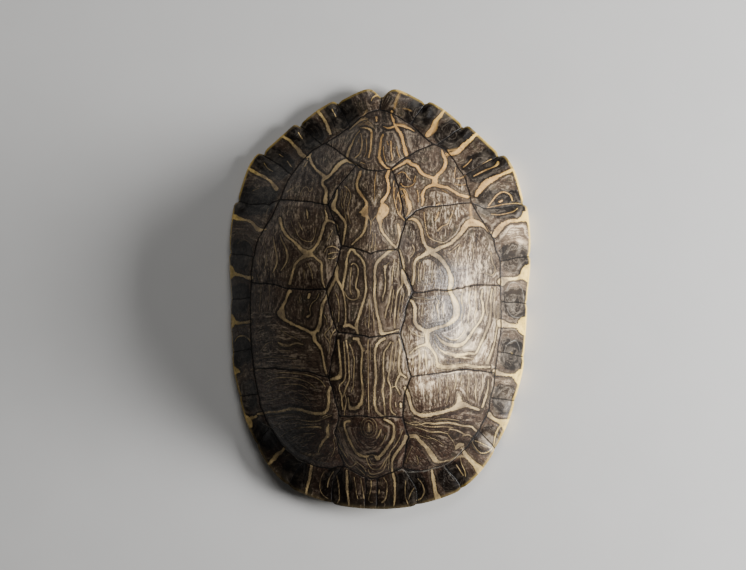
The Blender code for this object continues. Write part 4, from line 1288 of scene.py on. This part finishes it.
def ring_plan():
    """Each ring of the mesh, top to hollow: where it runs and how many points it has."""
    lip_start, lip_end = LIP_RINGS
    plan = []
    for share in even_shares(OUTER_RINGS):
        halvings = sum(share < limit for limit in HALVED_BELOW)
        plan.append((1 - share * (1 - lip_end), AROUND >> halvings))
    for step in range(1, LIP_STEPS):
        plan.append((lip_end + (lip_start - lip_end) * step / LIP_STEPS, AROUND))
    plan.append((lip_start, AROUND))
    for share in even_shares(HOLLOW_RINGS)[-2::-1]:
        halvings = 1 + sum(share < limit for limit in HALVED_BELOW)
        plan.append((share * lip_start, AROUND >> halvings))
    return plan


def join_rings(upper, upper_count, lower, lower_count):
    """The faces between two rings, of which one may have twice the points."""
    faces = []
    for j in range(min(upper_count, lower_count)):
        k = j + 1
        if upper_count == lower_count:
            k %= upper_count
            faces.append((upper + j, upper + k, lower + k, lower + j))
        elif lower_count > upper_count:
            near, far = upper + j, upper + k % upper_count
            first, middle, last = (lower + (2 * j + i) % lower_count for i in range(3))
            faces.append((near, far, last, middle))
            faces.append((near, middle, first))
        else:
            near, far = lower + j, lower + k % lower_count
            first, middle, last = (upper + (2 * j + i) % upper_count for i in range(3))
            faces.append((first, middle, near))
            faces.append((middle, last, far, near))
    return faces


# ---------------------------------------------------------------- what each point holds
def inside_marginals(x, y):
    """True on the vertebral and costal scutes."""
    edge = np.array(RIGHT_MARGINAL_EDGE + NECK_ARCH[-2:0:-1]
                    + LEFT_MARGINAL_EDGE[::-1] + TAIL_ARCH[1:-1], float)
    turns = np.unwrap(np.arctan2(edge[:, 0], edge[:, 1]))
    full = 2 * math.pi
    radius = np.interp(np.mod(np.arctan2(x, y) - turns[0], full) + turns[0],
                       np.append(turns, turns[0] + full),
                       np.append(np.hypot(edge[:, 0], edge[:, 1]), np.hypot(*edge[0])))
    return np.hypot(x, y) < radius


def on_vertebrals(x, y):
    """True on the five scutes along the middle."""
    right = np.array(RIGHT_VERTEBRAL_EDGE[::-1], float)
    left = np.array(LEFT_VERTEBRAL_EDGE[::-1], float)
    within = ((x < np.interp(y, right[:, 1], right[:, 0]))
              & (x > np.interp(y, left[:, 1], left[:, 0])))
    return within & inside_marginals(x, y)


def blotch_reach(x, y):
    """0 in the middle of the dark blotches across the rim's seams, 1 on their borders."""
    reach = np.full(x.shape, BLOTCH_FARTHEST)
    for seam in MARGINAL_SEAMS:
        start, end = np.array(seam[0], float), np.array(seam[-1], float)
        length = np.hypot(*(end - start))
        way = (end - start) / length
        off = np.stack([x, y]) - (start + BLOTCH_PLACE * (end - start))[:, None]
        out = np.abs(off[0] * way[0] + off[1] * way[1]) / (BLOTCH_OUT * length)
        side = np.abs(off[0] * way[1] - off[1] * way[0]) / BLOTCH_SIDE
        squarish = (out**BLOTCH_SQUARE + side**BLOTCH_SQUARE) ** (1 / BLOTCH_SQUARE)
        reach = np.minimum(reach, squarish)
    return reach * (1 - knob_share(x, y))


def smudge_reach(x, y):
    """0 under the seams of the rim, growing along the rim to both sides of each."""
    ends = np.array([seam[-1] for seam in MARGINAL_SEAMS], float)
    off = np.arctan2(x, y)[..., None] - np.arctan2(ends[:, 0], ends[:, 1])
    off = np.abs((off + math.pi) % (2 * math.pi) - math.pi)
    return off.min(axis=-1) * np.hypot(x, y) / BLOTCH_SIDE


def streak_grain(x, y):
    """Across and along the fine streaks of each scute."""
    fans = ~on_vertebrals(x, y) & (y < np.interp(np.abs(x), FAN_EDGE_OUT, FAN_EDGE_ALONG))
    out = np.abs(x) - FAN_CENTRE[0]
    turn = np.arctan2(FAN_CENTRE[1] - y, np.maximum(out, 1.0))
    level = (x < 0) & (y < np.interp(-x, LEVEL_EDGE_OUT, LEVEL_EDGE_ALONG)) & ~on_vertebrals(x, y)
    across = np.where(fans, turn * FAN_SPREAD, np.where(level, y, x))
    along = np.where(fans, np.hypot(out, y - FAN_CENTRE[1]), np.where(level, x, y))

    boss_x, boss_y = x - BOSS_CENTRE[0], (y - BOSS_CENTRE[1]) * BOSS_SHAPE
    boss = on_vertebrals(x, y) & (y < FIRST_VERTEBRAL_EDGE)
    across = np.where(boss, np.hypot(boss_x, boss_y), across)
    along = np.where(boss, np.arctan2(boss_y, boss_x) * BOSS_SIZE, along)

    rim = ~inside_marginals(x, y) & ((y > NECK_MARGINALS) | (np.abs(x) > NECK_SPAN))
    blotch = blotch_reach(x, y)
    across = np.where(rim, blotch * BLOTCH_ARC, across)
    return across, np.where(rim, np.arctan2(x, y) * RIM_ARC, along), blotch


def patch_share(patches, x, y):
    """The strongest of some soft patches at each point."""
    share = np.zeros(x.shape)
    for centre, size, strength in patches:
        spread = ((x - centre[0]) / size[0]) ** 2 + ((y - centre[1]) / size[1]) ** 2
        share = np.maximum(share, strength * np.exp(-spread))
    return share


def rim_gold(x, y, ring):
    """How much of the yellow edge shows at each point of the rim, and its glow inwards."""
    gap = MEAN_REACH * (ring - LIP_RINGS[1]) / (1 - LIP_RINGS[1])
    degrees, strengths = zip(*RIM_STRIP)
    strength = np.interp(np.degrees(np.arctan2(x, y)), degrees, strengths)
    return (strength * (1 - smooth_step(*STRIP_FADE, gap)),
            strength * (1 - smooth_step(*GLOW_FADE, gap)))


def horn_share(angle, ring):
    """1 on the horn, 0 on the bone of the hollow and of the two cuts."""
    share = ring / LIP_RINGS[0]
    wave = HORN_BORDER_WAVE * np.sin(angle * HORN_BORDER_WAVES)
    border = by_direction(angle, HORN_UNDER_RIM) + wave
    inside = smooth_step(border - HORN_BORDER_BLUR, border + HORN_BORDER_BLUR, share)
    return np.where(ring < LIP_RINGS[0], inside, 1.0)


def store(mesh, name, values):
    layer = mesh.attributes.new(name, "FLOAT_VECTOR", "POINT")
    layer.data.foreach_set("vector", np.ascontiguousarray(values, dtype=np.float32).ravel())


def mesh_places(plan):
    """The angle and the ring of each point, from the top to the middle of the hollow."""
    angles = [np.zeros(1)]
    rings = [np.ones(1)]
    for ring, count in plan:
        angles.append(np.arange(count) * 2 * math.pi / count)
        rings.append(np.full(count, ring))
    angles.append(np.zeros(1))
    rings.append(np.zeros(1))
    return np.concatenate(angles), np.concatenate(rings)


def mesh_faces(plan, end):
    """The faces of all rings, closed by a fan at the top and at the end point."""
    first = 1
    count = plan[0][1]
    faces = [(0, first + (j + 1) % count, first + j) for j in range(count)]
    for (_, upper_count), (_, lower_count) in zip(plan[:-1], plan[1:]):
        faces += join_rings(first, upper_count, first + upper_count, lower_count)
        first += upper_count
    count = plan[-1][1]
    return faces + [(first + j, first + (j + 1) % count, end) for j in range(count)]


def store_lines(mesh, x, y):
    """Stores the lines near each point; returns the way to the wide ones and to any."""
    strokes = painted_strokes()
    for number, layer in enumerate(spread_out(strokes)):
        store(mesh, f"line {number}", draw(layer, x, y).stored())
    drawn = {
        "seam": seam_strokes(SEAM_LINE_WIDTH, RIM_SEAM_WIDTH),
        "joint": bone_joints(),
        "dull": [smooth_stroke(points) for points in DULL_LINES],
        "chalk": [smooth_stroke(points) for points in CHALKY_LINES],
    }
    for name, kind in drawn.items():
        store(mesh, name, draw(kind, x, y).stored())
    wide = [stroke for stroke in strokes if stroke[:, 2].max() > WIDE_HALF_WIDTH]
    return draw(wide, x, y).edge, draw(strokes, x, y).edge


def store_places(mesh, x, y, angle, ring, cut):
    """Stores the streaks, the rim, the bone, the worn places with their painted sheen and the smoky
    places with their painted shade at each point.
    """
    across, along, blotch = streak_grain(x, y)
    strip, glow = rim_gold(x, y, ring)
    under = smooth_step(*UNDER_FADE, ring)
    wide_edge, edge = store_lines(mesh, x, y)
    store(mesh, "edges", np.column_stack([wide_edge, edge, blotch]))
    store(mesh, "grain", np.column_stack([across, along, smudge_reach(x, y)]))
    store(mesh, "rim", np.column_stack([strip, glow, 1 - smooth_step(*LIP_FADE, ring)]))
    store(mesh, "zone", np.column_stack([under, horn_share(angle, ring), cut]))
    store(mesh, "patch", np.column_stack([patch_share(patches, x, y) for patches in
                                          (WORN_AND_SHEEN_PATCHES, SMOKY_AND_SHADE_PATCHES, RED_PATCHES)]))


def add_object(name, data):
    made = bpy.data.objects.new(name, data)
    bpy.context.scene.collection.objects.link(made)
    return made


def make_carapace():
    plan = ring_plan()
    angle, ring = mesh_places(plan)
    points = shell_point(angle, ring)
    cut = points[:, 2] < 0
    points[:, 2] = np.maximum(points[:, 2], 0)

    mesh = bpy.data.meshes.new("shell")
    mesh.from_pydata((points * MM).tolist(), [], mesh_faces(plan, len(points) - 1))
    mesh.shade_smooth()
    mesh.set_sharp_from_angle(angle=SHARP_EDGE)
    store_places(mesh, points[:, 0], points[:, 1], angle, ring, cut)
    return add_object("shell", mesh)


# ---------------------------------------------------------------- painting
class Value:
    """A number that varies over a surface, used in ordinary arithmetic."""

    def __init__(self, finish, socket):
        self.finish = finish
        self.socket = socket

    def math(self, operation, first, second):
        made = self.finish.node("ShaderNodeMath", {"operation": operation}, {0: first, 1: second})
        return Value(self.finish, made.outputs[0])

    def __add__(self, other):
        return self.math("ADD", self, other)

    def __sub__(self, other):
        return self.math("SUBTRACT", self, other)

    def __rsub__(self, other):
        return self.math("SUBTRACT", other, self)

    def __mul__(self, other):
        return self.math("MULTIPLY", self, other)

    def __truediv__(self, other):
        return self.math("DIVIDE", self, other)

    def __pow__(self, other):
        return self.math("POWER", self, other)

    def __rtruediv__(self, other):
        return self.math("DIVIDE", other, self)

    __radd__ = __add__
    __rmul__ = __mul__

    def most(self, other):
        return self.math("MAXIMUM", self, other)

    def least(self, other):
        return self.math("MINIMUM", self, other)

    def rise(self, low, high):
        """0 below low, 1 above high, and smooth between them."""
        made = self.finish.node("ShaderNodeMapRange", {"interpolation_type": "SMOOTHSTEP"},
                                {"Value": self, "From Min": low, "From Max": high})
        return Value(self.finish, made.outputs["Result"])

    def share(self, strength, low, high):
        return strength * self.rise(low, high)

    def from_least(self, least):
        """The least value where this is 0, and 1 where it is 1."""
        return least + (1 - least) * self

    def less(self, loss):
        """1 where this is 0, and less by the loss where it is 1."""
        return 1 - loss * self


class Finish:
    """One material and the nodes that paint it."""

    def __init__(self, name):
        self.material = bpy.data.materials.new(name)
        self.material.use_nodes = True
        self.tree = self.material.node_tree
        self.surface = self.tree.nodes["Principled BSDF"]

    def node(self, kind, settings, values):
        """Adds a node: its settings first, then the values or links of its sockets."""
        made = self.tree.nodes.new(kind)
        for name, setting in settings.items():
            setattr(made, name, setting)
        self.fill(made, values)
        return made

    def fill(self, made, values):
        for name, value in values.items():
            socket = made.inputs[name]
            if isinstance(value, Value):
                self.tree.links.new(value.socket, socket)
            elif isinstance(value, bpy.types.NodeSocket):
                self.tree.links.new(value, socket)
            else:
                socket.default_value = value

    def place(self):
        """Where the surface is, in millimetres."""
        frame_place = self.node("ShaderNodeTexCoord", {}, {}).outputs["Object"]
        return self.node("ShaderNodeVectorMath", {"operation": "SCALE"},
                         {"Vector": frame_place, "Scale": 1 / MM}).outputs["Vector"]

    def stored(self, name):
        """The three numbers that the mesh holds under a name."""
        layer = self.node("ShaderNodeAttribute",
                          {"attribute_type": "GEOMETRY", "attribute_name": name}, {})
        return self.parts(layer.outputs["Vector"])

    def parts(self, vector):
        split = self.node("ShaderNodeSeparateXYZ", {}, {0: vector})
        return [Value(self, part) for part in split.outputs]

    def vector(self, x, y, z):
        return self.node("ShaderNodeCombineXYZ", {}, {0: x, 1: y, 2: z}).outputs[0]

    def noise(self, place, size, detail, roughness):
        """Cloudy noise around a half, its lumps about as wide as the size."""
        made = self.node("ShaderNodeTexNoise", {}, {"Vector": place, "Scale": 1 / size,
                                                    "Detail": detail, "Roughness": roughness})
        return Value(self, made.outputs["Fac"])

    def blend(self, share, first, second):
        """Mixes two colours, which are the node's sockets 6 and 7."""
        made = self.node("ShaderNodeMix", {"data_type": "RGBA"}, {0: share, 6: first, 7: second})
        return made.outputs[2]

    def stroke(self, name, ragged, softness=0.0):
        """1 in the middle of the stored strokes and 0 past their edges; and their half width."""
        x, y, guard = self.stored(name)
        reach = (x * x + y * y) ** 0.5
        half_width = LINE_GUARD / (reach - guard).most(LEAST_REACH)
        out = (reach.most(guard) - 1) * (half_width / SOFT_HALF_WIDTH).most(1)
        return 1 - (out + ragged).rise(STROKE_CORE - softness, STROKE_END), half_width


def colour(red, green, blue):
    """A colour from its values on a screen, 0 to 255, as light adds up."""
    return tuple((part / 255) ** SCREEN_GAMMA for part in (red, green, blue)) + (1.0,)


DARK_HORN = colour(41, 33, 28)
BLACK_HORN = colour(17, 14, 12)
BROWN_HORN = colour(68, 56, 47)
OLIVE_HORN = colour(66, 62, 50)
RED_HORN = colour(74, 44, 31)
DUSTY_HORN = colour(103, 91, 78)
DUST = colour(158, 146, 131)
TAN_STREAK = colour(152, 135, 115)
LINE_SHADE = colour(27, 23, 19)
# Rubbed horn and pale wear, also used as painted sheen
RUBBED_AND_SHEEN_HORN = colour(152, 129, 104)
PALE_WEAR_AND_SHEEN = colour(238, 214, 178)
DEEP_YELLOW = colour(151, 131, 101)
PALE_YELLOW = colour(198, 171, 124)
OLD_GOLD = colour(200, 151, 86)
CREAM = colour(250, 218, 152)
HORN_YELLOW = colour(214, 190, 140)
RIM_YELLOW = colour(255, 214, 104)
CHALK = colour(180, 174, 162)
SEAM_DARK = colour(16, 13, 11)
# Dark pigment and painted shade
SMOKE_AND_SHADE = colour(12, 9, 7)
PALE_BONE = colour(222, 210, 184)
WARM_BONE = colour(206, 186, 150)
STAINED_BONE = colour(132, 106, 76)
FLOOR_SHADES = (colour(182, 181, 179), colour(188, 187, 185))


class ShellFinish(Finish):
    """The shell's material, with the stored values and the noise that its paints share."""

    def __init__(self):
        super().__init__("turtle horn and bone")
        place = self.place()
        self.sideways, self.tailwards, self.height = self.parts(place)
        self.across, self.along, self.under_seam = self.stored("grain")
        self.wide_edge, self.edge, self.blotch = self.stored("edges")
        self.strip, self.glow, self.lip = self.stored("rim")
        self.under, self.horn, self.cut = self.stored("zone")
        self.worn, self.smoky, self.red = self.stored("patch")
        self.broad = self.noise(place, *BROAD_NOISE)
        self.cloud = self.noise(place, *CLOUD_NOISE)
        self.mottle = self.noise(place, *MOTTLE_NOISE)
        self.fine = self.noise(place, *FINE_NOISE)
        self.pores = self.noise(place, *PORE_NOISE)
        self.patchy = self.cloud.rise(*PATCHES)
        # Rubbed places together with the painted sheen
        self.rubbed_and_sheen = (self.worn * (WORN_AND_SHEEN_STRENGTH + self.cloud.share(*WORN_AND_SHEEN_CLOUDS))).least(1)
        on_rim = 1 - self.blotch.rise(*OFF_BLOTCHES)
        self.streaks = self.streaked(on_rim)
        self.light_streak = self.streaks.rise(*LIGHT_STREAKS) * on_rim.less(RIM_CALM)
        self.deep_streak = (1 - self.streaks.rise(*DEEP_STREAKS)) * on_rim.less(RIM_CALM)
        self.line = self.yellow_lines()
        self.chalk, _ = self.stroke("chalk", self.ragged("chalk"))
        seam, _ = self.stroke("seam", self.ragged("seam"))
        self.seam = seam * self.chalk.less(SEAM_LOST_IN_CHALK)
        joint, _ = self.stroke("joint", self.ragged("joint"))
        self.joint = joint * (1 - self.cut) * self.patchy.from_least(LEAST_JOINT)

    def ragged(self, edge):
        """Noise around zero, mixed as an edge needs it."""
        return sum(amount * (getattr(self, name) - NOISE_MIDDLE)
                   for name, amount in RAGGED[edge].items())

    def total(self, amounts):
        """The named values, each times its amount, added up."""
        return sum(amount * getattr(self, name) for name, amount in amounts.items())

    def streaked(self, on_rim):
        """Streaks along the scute: strands and hairs, and a bend round the wide lines."""
        rim_bend = RIM_BEND * on_rim * (self.cloud - NOISE_MIDDLE)
        bent = self.across + self.ragged("bend") + rim_bend
        strands = self.noise(self.vector(bent, self.along / STRAND_STRETCH, 0), *STRAND_NOISE)
        hairs = self.noise(self.vector(bent, self.along / HAIR_STRETCH, HAIR_CUT), *HAIR_NOISE)
        wander = self.wide_edge + self.ragged("wander")
        around = self.vector(wander, self.along / ROUND_STRETCH, self.across / ROUND_STRETCH)
        round_strands = self.noise(around, *ROUND_STRAND_NOISE)
        near = 1 - self.wide_edge.rise(*NEAR_LINES)
        straight = (STRAND_PART * strands + HAIR_PART * hairs) * near.less(ROUND_PART)
        return straight + ROUND_PART * near * round_strands + self.ragged("streaks")

    def yellow_lines(self):
        """1 on the yellow lines, less on thin ones, and ragged at their edges."""
        ragged = self.ragged("line")
        line = None
        for number in range(LINE_LAYERS):
            stroke, half_width = self.stroke(f"line {number}", ragged)
            width_share = half_width.rise(FAINT_HALF_WIDTH, BRIGHT_HALF_WIDTH)
            stroke = stroke * width_share.from_least(LEAST_LINE)
            line = stroke if line is None else line.most(stroke)
        return line


def plain_horn(shell):
    """Brown, olive and reddish horn, with dark gaps between tan strands."""
    horn = shell.blend(shell.broad.rise(*EVEN_MIX), DARK_HORN, BROWN_HORN)
    horn = shell.blend(shell.cloud.share(*OLIVE_CLOUDS), horn, OLIVE_HORN)
    horn = shell.blend(shell.red * shell.mottle.rise(*RED_MOTTLE), horn, RED_HORN)
    horn = shell.blend(shell.mottle.share(*DUSTY_MOTTLE), horn, DUSTY_HORN)
    horn = shell.blend(GAP_STRENGTH * shell.deep_streak, horn, BLACK_HORN)
    everywhere, in_patches = TAN_STRENGTH
    tan = shell.light_streak * (everywhere + in_patches * shell.patchy)
    horn = shell.blend(tan, horn, TAN_STREAK)
    speckle = shell.fine.rise(*SPECKS) * shell.mottle.rise(*SPECKLED)
    return shell.blend(SPECK_STRENGTH * speckle, horn, DUST)


def rub_and_paint_sheen(shell, horn):
    """Rubbed places and painted sheen: a pale brown ground under cream strands, near white where the
    sheen is painted strongest.
    """
    ground = RUBBED_AND_SHEEN_STRENGTH * shell.rubbed_and_sheen * shell.deep_streak.less(RUBBED_AND_SHEEN_LOST_IN_GAPS)
    horn = shell.blend(ground, horn, RUBBED_AND_SHEEN_HORN)
    horn = shell.blend(RUBBED_AND_SHEEN_STRANDS * shell.rubbed_and_sheen * shell.light_streak, horn, PALE_WEAR_AND_SHEEN)
    return shell.blend(shell.rubbed_and_sheen.share(*CREAM_WEAR_AND_SHEEN), horn, PALE_WEAR_AND_SHEEN)


def darken(shell, horn):
    """Near black blotches on the rim, and dark edges beside the lines."""
    spot = 1 - (shell.blotch + shell.ragged("blotch")).rise(*BLOTCH_BORDER)
    # The blotches are paler and dustier under the worn places and the painted sheen
    horn = shell.blend(spot * (BLOTCH_STRENGTH - BLOTCH_WEAR_AND_SHEEN * shell.worn), horn, BLACK_HORN)
    dusty = shell.cloud.share(*BLOTCH_CLOUDS) + shell.streaks.share(*BLOTCH_STREAKS)
    horn = shell.blend(spot * dusty * shell.worn.from_least(LEAST_DUST), horn, DUST)
    halo = 1 - (shell.wide_edge + shell.ragged("halo")).rise(*HALO)
    horn = shell.blend(HALO_STRENGTH * halo, horn, LINE_SHADE)
    outline = 1 - shell.edge.rise(*OUTLINE)
    return shell.blend(OUTLINE_STRENGTH * outline, horn, BLACK_HORN)


def yellow_paint(shell):
    """Golden at the tail, cream where the horn is rubbed and where sheen is painted, brightest near
    the rim.
    """
    yellow = shell.blend(shell.cloud.rise(*EVEN_MIX), DEEP_YELLOW, PALE_YELLOW)
    golden = shell.sideways.rise(*GOLDEN_SIDE) * shell.tailwards.rise(*GOLDEN_TAIL)
    yellow = shell.blend(GOLD_STRENGTH * golden, yellow, OLD_GOLD)
    yellow = shell.blend(shell.rubbed_and_sheen.share(*CREAM_LINES_WORN_AND_SHEEN), yellow, CREAM)
    return shell.blend(GLOW_STRENGTH * shell.glow, yellow, RIM_YELLOW)


def draw_yellow(shell, horn):
    """The dull lines, and over them the worn yellow lines."""
    yellow = yellow_paint(shell)
    dull, _ = shell.stroke("dull", shell.ragged("dull"), softness=DULL_SOFTNESS)
    dull = DULL_STRENGTH * dull * shell.deep_streak.less(DULL_LOST_IN_GAPS)
    painted = shell.blend(dull, horn, yellow)
    everywhere, in_patches = LINE_STRENGTH
    kept = everywhere + in_patches * shell.patchy + shell.mottle.share(*LINE_MOTTLE)
    kept = kept * shell.deep_streak.less(LINE_LOST_IN_GAPS)
    return shell.blend(shell.line * kept, painted, yellow)


def edge_rim(shell, painted):
    """The yellow edge of the rim, and, where it turns down, growth layers and a lip darker towards the
    bottom.
    """
    between = (shell.blotch + shell.ragged("edging")).rise(*EDGING_BORDER)
    edging = shell.strip * between.from_least(LEAST_EDGING)
    edging = edging * (1 - shell.mottle.share(*EDGING_WEAR))
    painted = shell.blend(edging, painted, RIM_YELLOW)
    level = shell.vector(shell.along / LAYER_STRETCH, shell.height / LAYER_HEIGHT, LAYER_CUT)
    layers = 1 - shell.noise(level, *LAYER_NOISE).rise(*EDGE_LAYERS)
    # The lip is darker towards its bottom
    low_down = 1 - (shell.height + shell.ragged("lip_darkening")).rise(*LIP_DARKER_LOW)
    lip_darkening = LAYER_STRENGTH * layers + LIP_DARKER_LOW_STRENGTH * low_down
    painted = shell.blend(shell.lip * lip_darkening, painted, STAINED_BONE)
    smudge = 1 - (shell.under_seam + shell.ragged("lip smudge")).rise(*LIP_SMUDGES)
    return shell.blend(LIP_SMUDGE_STRENGTH * shell.lip * smudge, painted, DARK_HORN)


def chalk_seams_and_painted_shade(shell, painted):
    chalk = CHALK_STRENGTH * shell.chalk * shell.patchy.from_least(LEAST_CHALK)
    painted = shell.blend(chalk, painted, CHALK)
    painted = shell.blend(SEAM_STRENGTH * shell.seam, painted, SEAM_DARK)
    # Smoky dark pigment and painted shade, darkest at the neck end and the left side
    dense = SMOKE_AND_SHADE_STRENGTH - SMOKE_AND_SHADE_LOST_ON_LINES * shell.line
    dense = dense - SMOKE_AND_SHADE_LOST_ON_STREAKS * shell.light_streak
    smoke_and_shade_share = shell.smoky * dense * shell.glow.less(SMOKE_AND_SHADE_LOST_IN_GLOW)
    return shell.blend(smoke_and_shade_share, painted, SMOKE_AND_SHADE)


def horn_under_rim(shell):
    """Yellow horn between smoky blotches."""
    below = shell.blend(shell.mottle.share(*UNDER_MOTTLE), HORN_YELLOW, DEEP_YELLOW)
    specks = (1 - shell.fine.rise(*UNDER_SPECKS)) * shell.patchy
    below = shell.blend(UNDER_SPECK_STRENGTH * specks, below, STAINED_BONE)
    smudge = 1 - (shell.under_seam + shell.ragged("under smudge")).rise(*UNDER_SMUDGES)
    return shell.blend(UNDER_SMUDGE_STRENGTH * smudge, below, BROWN_HORN)


def bone(shell):
    """Bone of the hollow and of the sawn bridges, stained low down."""
    paint = shell.blend(shell.broad.rise(*EVEN_MIX), PALE_BONE, WARM_BONE)
    stain = 1 - (shell.height + shell.ragged("stain")).rise(*STAIN_HEIGHT)
    stain = STAIN_STRENGTH * stain + shell.mottle.share(*BONE_MOTTLE)
    pores = PORE_STRENGTH * (1 - shell.pores.rise(*SMALL_PORES))
    sawn = SAWN_STRENGTH * shell.cut * (1 - shell.pores.rise(*SAWN_PORES))
    for share in (stain, pores, sawn, JOINT_STRENGTH * shell.joint):
        paint = shell.blend(share, paint, STAINED_BONE)
    return paint


def horn_and_bone():
    shell = ShellFinish()
    painted = plain_horn(shell)
    for add in (rub_and_paint_sheen, darken, draw_yellow, edge_rim, chalk_seams_and_painted_shade):
        painted = add(shell, painted)
    painted = shell.blend(shell.under, painted, horn_under_rim(shell))
    on_horn = shell.horn * (1 - shell.cut)
    base = shell.blend(on_horn, bone(shell), painted)

    horn_rough = HORN_ROUGHNESS + shell.total(HORN_POLISH)
    rough = on_horn * horn_rough + (1 - on_horn) * BONE_ROUGHNESS
    relief = shell.total(HORN_RELIEF) * on_horn + shell.total(BONE_RELIEF) * (1 - on_horn)
    bump = shell.node("ShaderNodeBump", {}, {"Strength": BUMP_STRENGTH, "Distance": BUMP_HEIGHT,
                                             "Height": relief})
    shell.fill(shell.surface, {"Base Color": base, "Roughness": rough,
                               "Normal": bump.outputs["Normal"],
                               "Specular IOR Level": HORN_SHINE})
    return shell.material


def floor_paint():
    finish = Finish("pale floor")
    grain = finish.noise(finish.place(), *FLOOR_NOISE)
    finish.fill(finish.surface, {"Base Color": finish.blend(grain, *FLOOR_SHADES),
                                 "Roughness": FLOOR_ROUGHNESS})
    return finish.material


# ---------------------------------------------------------------- surroundings
def make_floor():
    half = FLOOR_WIDTH / 2
    mesh = bpy.data.meshes.new("floor")
    mesh.from_pydata([(-half, -half, 0), (half, -half, 0), (half, half, 0), (-half, half, 0)],
                     [], [(0, 1, 2, 3)])
    mesh.materials.append(floor_paint())
    add_object("floor", mesh)


def make_light(name, place, aim, size, power):
    """A square soft light, aimed at a point, all in metres."""
    light = bpy.data.lights.new(name, "AREA")
    light.shape = "RECTANGLE"
    light.size, light.size_y = size
    light.energy = power
    lamp = add_object(name, light)
    lamp.location = place
    direction = mathutils.Vector(aim) - mathutils.Vector(place)
    lamp.rotation_euler = direction.to_track_quat("-Z", "Y").to_euler()


def make_lights():
    world = bpy.data.worlds.new("studio")
    world.use_nodes = True
    background = world.node_tree.nodes["Background"]
    background.inputs["Color"].default_value = AIR_COLOUR
    background.inputs["Strength"].default_value = AIR_LIGHT
    bpy.context.scene.world = world
    for name, (place, aim, size, power) in LIGHTS.items():
        make_light(name, place, aim, size, power)


def make_camera():
    """Looks down on the dome, nearly square to the floor, tail end up."""
    view = mathutils.Vector((math.tan(VIEW_FROM_RIGHT), -math.tan(VIEW_FROM_NECK), 1)).normalized()
    along = mathutils.Vector((0, 1, 0))
    level_up = (along - view * along.dot(view)).normalized()
    level_right = level_up.cross(view)
    up = level_up * math.cos(ROLL) - level_right * math.sin(ROLL)
    right = level_right * math.cos(ROLL) + level_up * math.sin(ROLL)
    across_photo, up_photo = PHOTO_OFFSET
    target = mathutils.Vector((0, 0, AIM_HEIGHT)) - right * across_photo + up * up_photo

    lens = bpy.data.cameras.new("camera")
    lens.sensor_width = SENSOR
    lens.lens = SENSOR * CAMERA_DISTANCE / (PHOTO_WIDTH * MM_PER_PIXEL)
    lens.clip_end = CAMERA_SIGHT
    camera = add_object("camera", lens)
    turned = mathutils.Matrix((right, up, view)).transposed().to_4x4()
    stand = (target + view * CAMERA_DISTANCE) * MM
    camera.matrix_world = mathutils.Matrix.Translation(stand) @ turned
    bpy.context.scene.camera = camera


def main():
    make_camera()
    make_lights()
    make_floor()
    shell = make_carapace()
    shell.data.materials.append(horn_and_bone())
    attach(shell, "root")
    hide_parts("carapace")


main()
